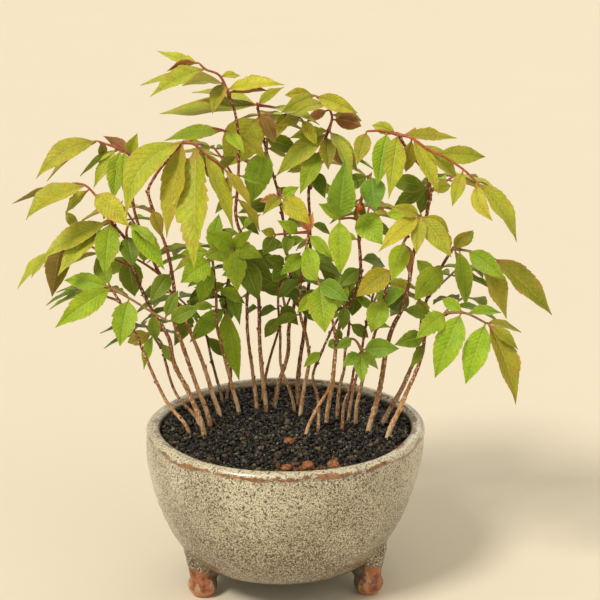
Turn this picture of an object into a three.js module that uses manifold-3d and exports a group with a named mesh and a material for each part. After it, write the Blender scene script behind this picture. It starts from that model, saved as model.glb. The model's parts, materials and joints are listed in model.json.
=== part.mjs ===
// A forest of twenty-five wax-tree seedlings in a speckled stoneware bowl on three nub feet.
// Millimetres, +Z up. The front is the -Y side, and the bowl's axis is where x and y are 0 inside the forest
// group.
import * as THREE from 'three';
import { mergeVertices } from 'three/addons/utils/BufferGeometryUtils.js';
import Module from 'manifold-3d';

const wasm = await Module();
wasm.setup();

// Points of a mesh that are nearer than this are one point
const SAME_POINT = 1e-4;

// The bowl's axis lies here, so that the whole forest's box is centred over the origin
const BOWL_PLACE = [0.6, -8.9];

// Bowl
const BOWL_RADIUS = 55;
const LIP_HALF = 2.8;
const LIP_HEIGHT = 62.1;
const FLOOR_UNDER = 9;
const FLOOR_TOP = 12;
const DRAIN_RADIUS = 5;
const FLOOR_RADIUS = 24;
const OUTER_WALL = [
  [FLOOR_RADIUS, FLOOR_UNDER], [33, 10.8], [39.8, 15], [47.8, 28], [54, 47.9], [BOWL_RADIUS, LIP_HEIGHT],
];
const INNER_WALL = [[49.4, LIP_HEIGHT], [47.6, 46], [42.4, 27.5], [34, 16.5], [FLOOR_RADIUS, FLOOR_TOP]];
const BOWL_SIDES = 28;
const OUTER_STEPS = 5;
const LIP_STEPS = 4;
const INNER_STEPS = 4;
// Where the hand-made rim is pressed in: the angle round the bowl, and how deep
const RIM_DENTS = [[142, 1.0], [205, 1.1], [337, 1.2]];
const DENT_SPREAD = 20;
// How far the foot of the hand-made wall stands to the left of its rim
const WALL_LEAN = 1.4;

// Feet
const FEET = [[-32.5, -19.5], [32.5, -17.5], [0, 38]];
const FOOT_PROFILE = [[0, 0], [3.8, 0], [5.2, 1.3], [6.0, 4.6], [5.5, 8.5], [0, 13]];
const FOOT_SIDES = 7;
// Each foot is pinched out of a tab of clay that leans up against the wall: how high its ends are, how far
// out the upper one is, and its radii
const TAB = { low: 6, out: 5.4, high: 22, radii: [5.4, 3.2] };

// Soil
const GAP = 0.3;
const SOIL_EDGE = 60.6;
const SOIL_DOME = 1.6;
const SOIL_RIM = 49.2;
const SOIL_RINGS = 5;
// The height of the lumps and how closely they follow one another, in radians a millimetre across and back
const SOIL_LUMP = 0.375;
const WIDE_LUMPS = { x: 0.9, y: 0.37, crossing: 0.83 };
const CLOSE_LUMPS = { x: 1.7, y: -1.3, start: 1 };
const ROOT_DEPTH = 9;
const HOLE_DEPTH = ROOT_DEPTH + GAP;
const HOLE_WIDER = 0.4;

// Clay grains, by place and radius, with the form of each one as shares of its radius
const GRAINS = [[1.4, -17, 2.3], [0.8, -42.2, 2.1], [8.6, -41.4, 2.8], [17.8, -39.6, 2.7]];
const GRAIN_FORM = [1, 0.85, 0.7];
const GRAIN_LIFT = 0.25;

// Leaves
const BLADE_THICK = 0.9;
const BLADE_RATIO = 0.34;
const BLADE_FOLD = 0.22;
const BLADE_WAVE = 0.1;
const BLADE_ARCH = 0.08;
const BLADE_BOW = 0.06;
const STALK_RADIUS = 0.6;
const BUD = 1.2;
const TAPER = 1.8;
const STEM_SIDES = 5;
const STALK_SIDES = 3;
const CLEARANCE = 0.45;
const OUTER_PART = 0.3;
// How much more the upper face of a leaflet turns to the sky than away from the bowl's middle
const SKYWARD = 100;
// How a leaflet with no room is tried again: its tip nearer or further by so many mm, then shorter
const TRIES = [[0, 1], [-4, 1], [4, 1], [-8, 1], [8, 1], [-12, 1], [12, 1], [-17, 1], [17, 1],
  [0, 0.7], [-6, 0.7], [6, 0.7], [-12, 0.7], [12, 0.7]];

// The place that the front view is drawn from. A point of a plant is given as it is seen from there on the
// upright plane through the bowl's axis, across and up, and by how far it really lies behind that plane.
const VIEWER = new THREE.Vector3(5.6, -623.4, 298.1);

// Each seedling has its thickness at the foot and top, its stem's points, and its leaves. A leaf is the
// points of its stalk, none where the leaflets sit on the stem, and its leaflets. A leaflet is where it starts
// and where its tip is, across and up, its seen width (below 0 where the underside shows), how far its tip
// leans back, and a bow.
const SEEDLINGS = [
  { thick: [1.9, 1.1],
    stem: [[-38, 60.2, -5], [-46.3, 72.5, -6], [-50, 80.5, -8], [-56, 96, -10], [-63.8, 113.8, -13],
       [-67, 119.5, -14]],
    leaves: [
      [[],
        [[-67, 119.5, -84.5, 122, 7, 6], [-67, 119, -88, 117, 3.5, 16],
         [-67, 118.5, -88.7, 103, 9.5, -10], [-67, 119.5, -72, 131, 7, 10]]],
      [[[-66.5, 119, -14], [-60, 115, -17], [-48.8, 107.8, -19], [-44.8, 105.5, -19]],
        [[-60, 114.7, -64, 95.5, 10, -8], [-44.8, 105.5, -32.5, 111.5, 6, -3], [-46, 107, -41, 118, 5, 6],
         [-51, 109.5, -50, 98, 5, 5]]],
    ],
    rear: [[[-63.8, 113.8, -13], [-72, 117, 2], [-74, 119, 12]]] },
  { thick: [2.6, 1.3],
    stem: [[-32.3, 60.4, -7], [-37.7, 76.5, -7], [-43.5, 89.7, -6], [-44.9, 98.3, -4], [-51, 109.5, -2],
       [-58, 127, -2], [-60, 137, -4], [-66, 145, -6]],
    leaves: [
      [[[-66, 145, -6], [-78, 141, -4], [-89, 133.5, -2]],
        [[-67, 145, -93, 130, 8, -9, 2], [-89, 133.5, -102.5, 118.5, 3.5, 3],
         [-69, 144.5, -87, 123.5, 8, -16], [-66, 145, -69, 124, 10, -12],
         [-85, 136, -89.4, 115.3, -10, 6], [-89, 133.5, -97, 123, 3, -6], [-78, 141, -83, 149, 4, 8]]],
      [[[-66, 145, -6], [-72, 156, -7], [-75, 159, -7], [-79, 160, -6]],
        [[-79, 160, -103, 152, -2.5, 8, 0.2], [-79, 160, -98, 145.5, 5, -6, 3],
         [-75, 159, -97, 147, 6, -14], [-72, 156, -59, 143, 9, -9], [-74, 157, -83, 148, 4, 10]]],
      [[[-60, 137, -4], [-60, 142, -9], [-58.5, 145, -13]],
        [[-58.5, 145, -46, 126, 8, -6], [-60, 140, -58, 127, 8, -9], [-59, 144, -49, 135, 4, -12]]],
    ],
    rear: [[[-58, 127, -2], [-70, 133, 6], [-76, 137, 13]]] },
  { thick: [2.2, 1.1],
    stem: [[-29.6, 63, 2], [-35, 80.5, 2], [-40, 96.5, 1], [-43, 106, 0], [-42.6, 118.7, -3],
       [-44.5, 132, -6], [-50, 150, -12], [-51.5, 157, -14], [-48.5, 163, -16], [-41, 172, -18],
       [-38, 175.5, -19]],
    leaves: [
      [[[-38, 175.5, -19], [-34.5, 175, -20], [-30, 171, -20], [-25, 167.5, -19], [-21, 163.5, -18]],
        [[-38, 175.5, -60, 146.5, 11, -12, 6.5], [-38, 175, -45, 138.5, 8.5, -13],
         [-32.9, 173.7, -34.8, 126.1, 12.8, -20], [-30, 171, -19.5, 141, 6, -9],
         [-23, 165.5, -12.5, 150, 4, -5], [-32, 172.5, -23.3, 159.2, 7, 4],
         [-21, 163.5, -24, 150, 5, -8]]],
      [[],
        [[-50, 150, -46.7, 138.7, 5, -7], [-43.5, 125, -52, 113, 7, -9]]],
    ],
    rear: [] },
  { thick: [1.6, 1],
    stem: [[-34, 63.5, 3], [-42.8, 76.4, 5], [-46.5, 89, 5], [-48, 97, 4], [-51, 100.5, 3]],
    leaves: [
      [[],
        [[-51, 100.5, -55, 86, 4, -5], [-51, 100.5, -61, 97, 6, 6], [-48, 97, -43, 88, 4, -4]]],
    ],
    rear: [[[-48, 95, 4], [-52, 101, 14], [-54, 104, 20]]] },
  { thick: [2.4, 1.2],
    stem: [[-25.9, 67.5, 14], [-28, 74.5, 14], [-32.7, 90.6, 14], [-35, 97, 14], [-41, 112, 13],
       [-48, 124.6, 12], [-52, 134, 12], [-57, 150, 10], [-57, 170, 8]],
    leaves: [
      [[[-57, 170, 8], [-60, 172, 7], [-70, 176, 5]],
        [[-70, 176, -93.5, 161.5, 8, -6, 3.2], [-69, 175.6, -66, 166, -4, 9],
         [-62, 172.8, -77, 162.5, 2.5, 10], [-70, 176, -89.5, 160.5, 3, 12], [-60, 172, -61, 157, 6, -12],
         [-61.6, 172.6, -64.8, 153.4, 8, -10], [-63, 173.2, -72, 158, 5, -3], [-58, 171, -55, 179, 5, -6],
         [-57.6, 170.7, -67.8, 177.9, -5, 6]]],
      [[[-48, 124.6, 12], [-56, 130, 8], [-60, 132, 5]],
        [[-60, 132, -57.7, 115.5, 9.5, 2], [-58, 131, -70, 124, 6, 8], [-54, 128.5, -52, 142, 6, 3]]],
    ],
    rear: [[[-52, 134, 12], [-58, 146, 26], [-62, 152, 36]],
       [[-57, 160, 9], [-50, 168, 22], [-48, 171, 30]]] },
  { thick: [1.6, 1],
    stem: [[-24.7, 73.1, 30], [-27.2, 84, 30], [-29.2, 92.7, 30], [-30.5, 99.7, 30], [-36, 109, 27]],
    leaves: [
      [[],
        [[-36, 109, -46, 89.8, 7.5, -6], [-36, 109, -47, 111, 5, 9], [-36, 109, -31, 121, 6, 5],
         [-30.5, 99.7, -23, 91, 5, 3]]],
    ],
    rear: [[[-33, 104, 28], [-38, 112, 38], [-42, 116, 44]]] },
  { thick: [2.1, 1.1],
    stem: [[-18.4, 69, 19], [-20.2, 76.5, 19], [-22, 84, 18], [-24.3, 94, 17], [-26.5, 105, 16],
       [-26.5, 114, 15], [-27.3, 126, 13], [-28, 133, 12]],
    leaves: [
      [[],
        [[-28, 130, -40, 121, 11, -6], [-28, 133, -40, 132.5, 5, 5], [-28, 133, -43, 125, 4, 12],
         [-28, 133, -25, 148, 7, 6], [-27.5, 128, -33, 113, 7, 3]]],
    ],
    rear: [[[-27, 122, 13], [-33, 132, 28], [-36, 136, 36]]] },
  { thick: [1.6, 1],
    stem: [[-23, 74.3, 34], [-21.2, 84, 32], [-22.3, 95, 29], [-23, 111, 25], [-22, 122, 23]],
    leaves: [
      [[],
        [[-23, 111.3, -37, 97, 7.5, -3], [-23, 110.5, -18, 81.3, 8.5, -7], [-22, 122, -17.5, 104, 6, -5],
         [-22.3, 118, -35, 119, 3, 4], [-22.5, 115, -38, 113.5, 3, 10], [-22, 122, -13, 130, 7, 6],
         [-21.9, 121.7, -21.7, 104.5, 6.5, 5]]],
    ],
    rear: [[[-22.5, 117, 24], [-20, 127, 38], [-19, 132, 46]]] },
  { thick: [2, 1.1],
    stem: [[-11.3, 70.3, 22], [-12.8, 85, 21], [-14.6, 101.3, 20], [-14.8, 111, 18], [-15.5, 130, 12],
       [-20, 135, 10]],
    leaves: [
      [[],
        [[-20, 135, -30.5, 131, 9, -5], [-20, 135, -8.5, 131, 7, -6], [-20, 135, -18.3, 117.5, 9.5, -9],
         [-20, 135, -12, 142, 5, -6], [-16, 131, -10.3, 114, 9, -4], [-20, 135, -29.6, 141, 8, -4]]],
    ],
    rear: [] },
  { thick: [2.2, 1.1],
    stem: [[-7.6, 69.4, 20], [-9.2, 85.7, 19], [-10, 98, 18], [-10.2, 114, 16], [-12, 128, 14],
       [-18.7, 148.5, 11], [-18, 157, 10], [-17.3, 168.5, 9], [-18.5, 186.5, 8], [-20.5, 193, 8]],
    leaves: [
      [[[-20.5, 193, 8], [-24.7, 201, 7], [-29.5, 203, 6], [-31.5, 205, 6]],
        [[-31.5, 205, -47, 209.6, 4, 4, -0.4], [-29, 203, -50, 192.5, 7, -12, 1.5],
         [-29.5, 203, -53.6, 196.8, 3, 9, 0.2], [-31.5, 205, -43.5, 202, -3, -5],
         [-23, 197.5, -38, 196.6, 4.5, -14], [-22, 195, 0.1, 197, 5.5, -6],
         [-24, 200, -16.5, 200.3, 3, 8], [-23, 197.5, -27, 186, 6, -16],
         [-19.9, 194.4, -6.2, 194.7, -4, -2]]],
      [[[-18, 177, 9], [-23, 180, 3], [-27, 181, -1]],
        [[-23.4, 180.1, -45.1, 176, 5.5, -5, 1], [-22, 179.5, -15, 171, 5, -12],
         [-22.7, 179.8, -35.8, 175.6, -3.5, -7]]],
      [[],
        [[-16, 142, -9, 148, 3, -8], [-18.1, 154.2, -9.6, 141, 3.5, -4]]],
    ],
    rear: [[[-18, 160, 9.5], [-24, 170, 22], [-27, 174, 30]]] },
  { thick: [1.6, 1],
    stem: [[-9, 74.3, 33], [-8, 81.7, 33], [-6, 90.7, 34], [-3.6, 98.8, 35], [-1, 107.7, 37], [3, 118, 39]],
    leaves: [
      [[],
        [[3, 118, -8, 125, 6, 3], [3, 118, 6, 131, 6, 4], [3, 118, 10, 108, 6, -5],
         [-1, 107.7, -8, 99, 5, -4]]],
    ],
    rear: [[[0, 111, 37.5], [-2, 119, 48], [-4, 122, 54]]] },
  { thick: [2.2, 1.1],
    stem: [[-4.2, 71, 24.5], [-2.7, 80, 23.5], [1, 93, 22], [1.4, 103.7, 22], [3.3, 112, 22], [1, 130, 22],
       [-0.8, 145.7, 22], [-2.5, 156, 22], [-5, 165, 22], [-8, 177, 22], [-10.2, 189.5, 22]],
    leaves: [
      [[],
        [[-10.2, 189.5, -46.6, 186.2, 6.5, 5, 0.3], [-11.5, 185, -22.1, 166.1, 15.5, 3],
         [-10, 190, -34.5, 194.2, 3, 12], [-9.6, 187, -3.7, 175.2, -6.5, -8], [-7, 173, -13, 152, 11, -5],
         [-7.8, 177.1, 4.5, 172.2, 7, 7]]],
      [[[-10.2, 189.5, 22], [-3.5, 188.5, 21], [0, 187.5, 20], [6, 184.5, 18]],
        [[-5, 189, 13, 182, 4, -7], [-10.3, 189.9, -0.3, 196.2, 4, -5], [6, 184.5, 12, 174, 5, -3],
         [1, 187.2, -3, 177, 5, -9], [5.6, 184.6, -3.3, 181.3, 5, -6]]],
      [[[-2.5, 156, 22], [-2, 157, 12], [-1.5, 154.5, 5]],
        [[-1.5, 154.5, -9.7, 152.7, 4, -3], [-1.5, 154.5, -8.6, 147.5, 4.5, -7],
         [-1.5, 154.5, 5.3, 158.5, 4.5, -2], [-1.5, 154.5, 9.5, 144, 8.5, -7]]],
    ],
    rear: [[[-7, 173, 22], [-6, 183, 36], [-6, 187, 44]]] },
  { thick: [1.6, 1],
    stem: [[3.4, 69.5, 19], [1.1, 79, 16], [-1.5, 86, 15], [-2, 100, 14], [-2.3, 119.3, 12], [0.2, 128, 11]],
    leaves: [
      [[],
        [[0.2, 128, -8, 131.5, 5, -4], [0.2, 128, -5, 121, 6, -6], [0.2, 128, 6, 133, 5, -6],
         [-2, 112, 5, 104, 6, -6], [-2.2, 108, -8, 99, 5, 3]]],
    ],
    rear: [] },
  { thick: [2.5, 1.1],
    stem: [[4.9, 72.8, 30], [4.8, 81.7, 29], [5.6, 90, 28], [7, 99.7, 27], [8.6, 116, 27], [9.5, 130, 27],
       [9.4, 143.3, 26], [9.4, 161.5, 24], [13, 172, 21], [16.3, 180, 19]],
    leaves: [
      [[[16.3, 180, 19], [17.5, 185, 18], [15, 190, 16], [11.2, 193, 15]],
        [[11.2, 193, -1.5, 186.5, 6, -8], [11.2, 193, 0, 193.2, 5, 4], [15, 190, 3, 186, 5, -14],
         [16, 187.5, 8, 183, -4, -10], [11.2, 193, 27.1, 186.5, 6.5, -3, 0.5],
         [17.3, 186, 28.5, 183.5, 6, 5], [17.2, 184, 28.5, 181.5, -7, -7]]],
      [[],
        [[16, 179.5, -4.5, 176, 5, -6, 1], [16, 179, -3.5, 162.5, 8, -13], [15.5, 178, 16.2, 165, 7, -9],
         [16.3, 180, 25.3, 161.7, 5, -14], [16.3, 180, 27.3, 164.2, 6.5, -4], [10.5, 165, 15, 154, 6, -6],
         [13.1, 172.6, 5.6, 155.7, 7.5, -9]]],
    ],
    rear: [[[9.4, 158, 24.5], [14, 168, 38], [17, 172, 46]]] },
  { thick: [2.1, 1.1],
    stem: [[5.8, 67.1, 13.5], [7.1, 77.7, 13], [9.2, 90.7, 12], [8.3, 98, 10], [5.5, 110.2, 5], [6, 122, 3],
       [9, 141, 2]],
    leaves: [
      [[[9, 141, 2], [2, 140.5, 2], [-3.5, 140, 3]],
        [[5, 140.7, -3, 145.5, 5, -5], [-3.5, 140, -9.2, 141.5, 4, -2], [-3.5, 140, -8.5, 131.8, 5.5, -4],
         [2, 140.5, 0, 132, 5, -6]]],
      [[],
        [[9, 140, 17.6, 130.5, 5, -6], [8, 136, 11.5, 121.3, 7, -8], [7.3, 132, -2, 124, 6, -7],
         [9, 141, 10.5, 149, 3, -3], [9, 141, 4.5, 148, 3, -5]]],
    ],
    rear: [] },
  { thick: [1.6, 1.1],
    stem: [[7.9, 59, -8], [12.1, 69.8, -10], [16.7, 77.9, -12], [19.2, 89.9, -14], [18.5, 104, -15],
       [13, 121, -16]],
    leaves: [
      [[],
        [[13, 121, 15.3, 101, 12, -8], [13, 121, 24.5, 113.5, 7, -7], [13, 121, 6, 129, 6, 6],
         [14, 118, 4.5, 109, 5, 3]]],
    ],
    rear: [] },
  { thick: [1.7, 1],
    stem: [[12.8, 60.2, -4], [12.5, 74.5, -2], [10.6, 82.5, -1], [14, 93.2, -1], [16.7, 99.7, 0],
       [23, 112, 1]],
    leaves: [
      [[],
        [[23, 112, 22, 102, 5, -4], [23, 112, 13, 116, 6, -3], [23, 112, 19, 124, 6, 2],
         [14, 93.5, 7, 87, 4, -3]]],
    ],
    rear: [] },
  { thick: [2.2, 1.2],
    stem: [[16, 64.3, 7], [16.7, 71.5, 7], [18.2, 79.7, 7], [19, 90.4, 7], [21, 104.5, 7], [28.8, 124.5, 6],
       [28.6, 130, 6], [28, 137.9, 5], [27.5, 148, 4], [30, 158, 4], [32, 163, 4]],
    leaves: [
      [[[27.6, 146, 4], [24, 146.5, 0], [20.5, 146, -3]],
        [[20.5, 146, 22.5, 169, 11, -6], [20.5, 146, 21, 124, 9, -8], [22.5, 146.3, 12.5, 152, 6, -5]]],
      [[],
        [[27.5, 148, 37, 136, 11, -10], [32, 163, 34, 149, 10, -9], [29, 154, 27.5, 144, 5, 8],
         [32, 163, 22, 158, 6, 5], [28.7, 127, 20, 119, 6, -6], [27.8, 120.9, 25.6, 107.7, 7, 6]]],
    ],
    rear: [[[28, 138, 5], [31, 148, 18], [32, 152, 26]]] },
  { thick: [1.8, 1.1],
    stem: [[20.2, 66.7, 13], [21.2, 79.7, 13], [22.7, 86, 14], [23, 93, 15], [24.5, 104, 16], [22, 117, 17]],
    leaves: [
      [[],
        [[22, 117, 13, 127, 6, -5], [22, 117, 14, 110, 6, -4], [22, 117, 27, 127, 5, 3],
         [24.2, 105, 32, 99, 5, 4]]],
    ],
    rear: [[[23.5, 109, 16.5], [20, 118, 30], [18, 122, 38]]] },
  { thick: [1.7, 1],
    stem: [[24.6, 65.6, 10], [26, 76, 11], [28.5, 87.5, 13], [31, 104, 16], [34, 118, 18]],
    leaves: [
      [[],
        [[34, 118, 26, 123, 5, 3], [34, 118, 36, 131, 6, 4], [34, 118, 43, 110, 6, -5],
         [31, 104, 41, 103, 3, -6]]],
    ],
    rear: [[[32, 109, 16.7], [36, 118, 32], [38, 122, 42]]] },
  { thick: [1.7, 1],
    stem: [[22.2, 62, -1], [22.8, 71.5, -3], [25.5, 79.7, -6], [27, 88, -9], [29.5, 94, -11]],
    leaves: [
      [[[29.5, 94, -11], [26, 98.5, -13], [22, 98, -14]],
        [[26, 98.5, 19.5, 94.5, 4.5, -4], [22, 98, 16.5, 95.5, 4, 2], [22, 98, 18.5, 102.5, 3.5, 3]]],
      [[],
        [[29, 92.8, 22.2, 87.2, 5.5, -5], [29, 93, 29.7, 80.5, 6, -7], [29.5, 94, 44, 94.5, 8, -3],
         [29.5, 93.5, 36, 86, 4.5, -6]]],
    ],
    rear: [] },
  { thick: [2, 1.1],
    stem: [[27.4, 63.4, 4], [27.7, 70.5, 3], [29.5, 79.7, 2], [31.5, 90, 1], [34.5, 101, -1], [37.5, 114, -4],
       [41, 127, -7], [46, 139, -10], [51, 147.2, -12]],
    leaves: [
      [[],
        [[51, 147.2, 39, 150.8, 5, -4, 1], [51, 147.2, 35.3, 133, 7, -10],
         [51, 147.2, 49.8, 132.3, 6, -9], [51, 147.2, 63.2, 131, 8, -7], [51, 147.2, 62, 141, 6, 4],
         [40.8, 126.5, 27, 115.4, 9, -5], [37.8, 115, 33, 100.9, 9, -6], [50.9, 147.2, 38.1, 148, 6, 7],
         [44.3, 137.9, 40.7, 121.7, 8, -7], [45.1, 136.7, 47.2, 124.1, -5, 6]]],
    ],
    rear: [] },
  { thick: [2.7, 1.3],
    stem: [[32.5, 60.8, -3], [34.7, 69.5, -3], [36.9, 79.7, -3], [39.8, 98, -1], [41.5, 103.7, 0],
       [44.2, 109.3, 1], [46.8, 119, 2], [48.6, 131.5, 2], [53.8, 150, 0], [54, 161, -1], [52, 165, -2],
       [47.3, 170.5, -3], [42, 178.5, -5]],
    leaves: [
      [[[42, 178.5, -5], [36, 179.8, -4], [30.5, 179.7, -2]],
        [[42.1, 179, 32.4, 182, 5, 6], [30.5, 179.7, 26.9, 166.9, 6.5, -8],
         [38, 179.3, 34.5, 158.5, 8, -9]]],
      [[[42, 178.5, -5], [47.5, 177, -8], [52.5, 173.5, -10], [61, 169, -12], [67, 165, -13],
        [72, 160.3, -14]],
        [[43, 178.3, 64.1, 177.1, 5, 7, 0], [47.5, 177, 57.8, 155.5, 6.5, -6],
         [50.5, 174.8, 65, 161, 6, 4], [56.5, 171.4, 75, 170, 7, 6, 0.4], [66.8, 165, 63, 151, 5.5, -5],
         [72, 160.3, 78.5, 145.3, 6, -6, -2], [72, 160.3, 87.8, 137, 7, -2, 2.2],
         [47.3, 177.1, 45.3, 164.2, 6, 6]]],
      [[],
        [[42, 178.5, 39, 153.8, 8, -13], [53.9, 158, 41, 151, 6, 7], [53.9, 161, 51, 148, 6, 9],
         [53.7, 158, 39.4, 160.4, 7, 9], [54.1, 157.3, 62.3, 158.8, 5, 7]]],
    ],
    rear: [[[54, 156, -0.6], [61, 161, 10], [64, 163, 18]]] },
  { thick: [2.7, 1.2],
    stem: [[38.4, 64.4, 6.5], [41.8, 71.5, 7], [45.4, 78.5, 8], [48, 85, 9], [50.6, 92, 10], [51.5, 98, 11],
       [52.8, 109, 11], [57, 122, 9], [63.5, 134.5, 5]],
    leaves: [
      [[[63.5, 134.5, 5], [70, 133.5, 3], [79, 131, 1]],
        [[66, 134, 69.3, 111, 7, -5], [69, 133.5, 84, 122, 8, -9], [79, 131, 102.5, 108, 9, -4, 1.2],
         [75, 132.2, 85, 106.5, 8, 6], [66, 134, 71.5, 141, 4, 7], [64.5, 134.3, 67, 117, 3, 8]]],
      [[],
        [[60, 128, 49.5, 114, 10, -4], [62, 131.5, 57.8, 143.7, 6.5, 5], [63.5, 134.5, 71.3, 141.7, 5, 2],
         [57, 122, 50, 130, 6, 5]]],
      [[[52.8, 109, 11], [51, 115, 9], [48, 117, 8]],
        [[48, 117, 40, 121, 6, 3], [50.5, 115.5, 54.5, 105, 6, -3], [48, 117, 40.3, 107.5, -7, -3]]],
    ],
    rear: [[[55, 116, 10.2], [63, 124, 24], [67, 128, 32]]] },
  { thick: [2.6, 1.3],
    stem: [[40.2, 58.5, -9], [44.7, 70.2, -11], [47.5, 77.6, -12], [50, 83.4, -13], [53, 93, -15],
       [54, 100, -16], [61.7, 109, -18]],
    leaves: [
      [[[61.7, 109, -18], [68.5, 109, -20], [78, 104.5, -21]],
        [[69.5, 108.7, 83, 109, 4, 7], [77, 105, 91, 101, 3, 8], [78, 104.5, 90, 94, 4.5, -4],
         [67.5, 109, 58, 82.5, 11, -7], [77, 105, 70, 80, 10, -5], [78, 104.5, 89.8, 71.5, 8.5, -6, 1.5],
         [68.5, 109, 60, 114.5, 5, 8]]],
      [[],
        [[61.7, 109, 50.3, 98.5, 8.5, -6], [53.9, 99.5, 42, 96, 7, -7], [53.5, 97, 48.3, 86, 3.5, -5]]],
    ],
    rear: [[[57, 104, -17], [64, 112, -6], [68, 115, 2]]] },
];
// A leaf at the back of a seedling is given by its stalk alone. Its leaflets stand in pairs along the stalk
// and one at its end, and this is their form.
const REAR_PAIRS = [0, 0.75];
const REAR_PAIRED = { forward: 0.45, sideways: 0.85, drop: 0.35, length: 20 };
const REAR_LAST = { forward: 1, sideways: 0, drop: 0.5, length: 22 };
const REAR_WIDTH = 0.4;
const REAR_DROPS = [0, 4, -4, 8, -8];

const COLOURS = {
  bowl: { color: 0xa9a596, roughness: 0.35, metalness: 0 },
  soil: { color: 0x17140f, roughness: 0.95, metalness: 0 },
  grain: { color: 0xa8622f, roughness: 0.9, metalness: 0 },
  youngLeaf: { color: 0x9a9a3c, roughness: 0.5, metalness: 0 },
  leaf: { color: 0x5f9a35, roughness: 0.5, metalness: 0 },
  shadedLeaf: { color: 0x3f6b2b, roughness: 0.55, metalness: 0 },
};
// Which of the three greens a seedling has: the tall ones are yellow, the short inner ones dark
const TALL = 140;
const SHORT = 119;

// A closed mesh becomes a solid that can be joined and cut
function solidOf(geometry) {
  const bare = geometry.clone();
  bare.deleteAttribute('normal');
  bare.deleteAttribute('uv');
  const merged = mergeVertices(bare, SAME_POINT);
  return new wasm.Manifold(new wasm.Mesh({
    numProp: 3,
    vertProperties: new Float32Array(merged.attributes.position.array),
    triVerts: new Uint32Array(merged.index.array),
  }));
}

function geometryOf(solid) {
  const mesh = solid.getMesh();
  const geometry = new THREE.BufferGeometry();
  geometry.setAttribute('position', new THREE.BufferAttribute(new Float32Array(mesh.vertProperties), 3));
  geometry.setIndex(new THREE.BufferAttribute(new Uint32Array(mesh.triVerts), 1));
  geometry.computeVertexNormals();
  return geometry;
}

function joined(solids) {
  return solids.reduce((whole, solid) => whole.add(solid));
}

// A profile of [radius, height] points, turned about the upright axis
function turned(profile, sides) {
  const points = profile.map(([r, z]) => new THREE.Vector2(r, z));
  return new THREE.LatheGeometry(points, sides).rotateX(Math.PI / 2);
}

function moveVertices(geometry, move) {
  const position = geometry.attributes.position;
  const vertex = new THREE.Vector3();
  for (let i = 0; i < position.count; i += 1) {
    vertex.fromBufferAttribute(position, i);
    move(vertex);
    position.setXYZ(i, vertex.x, vertex.y, vertex.z);
  }
  return geometry;
}

// Presses the dents of the rim into a shape, most at the rim and not at all at the foot, and leans the wall
function dented(geometry) {
  return moveVertices(geometry, (vertex) => {
    const angle = THREE.MathUtils.radToDeg(Math.atan2(vertex.y, vertex.x));
    const level = (vertex.z / LIP_HEIGHT) ** 2;
    let depth = 0;
    for (const [place, deepest] of RIM_DENTS) {
      const away = THREE.MathUtils.euclideanModulo(angle - place + 180, 360) - 180;
      depth += deepest * Math.exp(-((away / DENT_SPREAD) ** 2));
    }
    const scale = 1 - (depth * level) / BOWL_RADIUS;
    vertex.x = vertex.x * scale - WALL_LEAN * Math.max(0, 1 - level);
    vertex.y *= scale;
  });
}

function curvePoints(points, count) {
  const curve = new THREE.SplineCurve(points.map(([r, z]) => new THREE.Vector2(r, z)));
  return curve.getPoints(count).map((p) => [p.x, p.y]);
}

function makeBowl() {
  const lip = new THREE.EllipseCurve(BOWL_RADIUS - LIP_HALF, LIP_HEIGHT, LIP_HALF, LIP_HALF, 0, Math.PI);
  const profile = [
    [DRAIN_RADIUS, FLOOR_UNDER],
    ...curvePoints(OUTER_WALL, OUTER_STEPS),
    ...lip.getPoints(LIP_STEPS).slice(1, -1).map((p) => [p.x, p.y]),
    ...curvePoints(INNER_WALL, INNER_STEPS),
    [DRAIN_RADIUS, FLOOR_TOP],
    [DRAIN_RADIUS, FLOOR_UNDER],
  ];
  const feet = FEET.flatMap(([x, y]) => {
    const way = new THREE.Vector3(x, y, 0).normalize();
    const low = new THREE.Vector3(x, y, TAB.low);
    const high = low.clone().addScaledVector(way, TAB.out).setZ(TAB.high);
    const nub = solidOf(turned(FOOT_PROFILE, FOOT_SIDES).translate(x, y, 0));
    return [nub, makeLimb([low, high], TAB.radii, FOOT_SIDES)];
  });
  const wall = solidOf(dented(turned(profile, BOWL_SIDES)));
  return joined([wall, ...feet]);
}

// The soil's height at a place: a low dome with lumps
function soilHeight(x, y) {
  const dome = SOIL_DOME * (1 - (x * x + y * y) / (BOWL_RADIUS * BOWL_RADIUS));
  const wide = Math.sin(x * WIDE_LUMPS.x + y * WIDE_LUMPS.y) * Math.cos(y * WIDE_LUMPS.crossing);
  const close = Math.sin(x * CLOSE_LUMPS.x + y * CLOSE_LUMPS.y + CLOSE_LUMPS.start);
  return SOIL_EDGE + dome + SOIL_LUMP * (wide + close);
}

function makeSoil(stems, grains) {
  const wall = curvePoints(INNER_WALL, INNER_STEPS).map(([r, z]) => [r - GAP, z]);
  const side = wall.filter(([, z]) => z < SOIL_EDGE);
  const rings = Array.from({ length: SOIL_RINGS }, (_, i) => (SOIL_RINGS - i) / SOIL_RINGS);
  const profile = [
    [0, FLOOR_TOP + GAP],
    [FLOOR_RADIUS - GAP, FLOOR_TOP + GAP],
    ...side.reverse().slice(1),
    ...rings.map((share) => [(SOIL_RIM - GAP) * share, SOIL_EDGE]),
    [0, SOIL_EDGE],
  ];
  const shape = dented(turned(profile, BOWL_SIDES));
  const lumpy = moveVertices(shape, (vertex) => {
    if (vertex.z > SOIL_EDGE - GAP) vertex.z = soilHeight(vertex.x, vertex.y);
  });
  const holes = stems.map((stem) => stem.hole);
  return [...holes, ...grains].reduce((soil, cut) => soil.subtract(cut), solidOf(lumpy));
}

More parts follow.
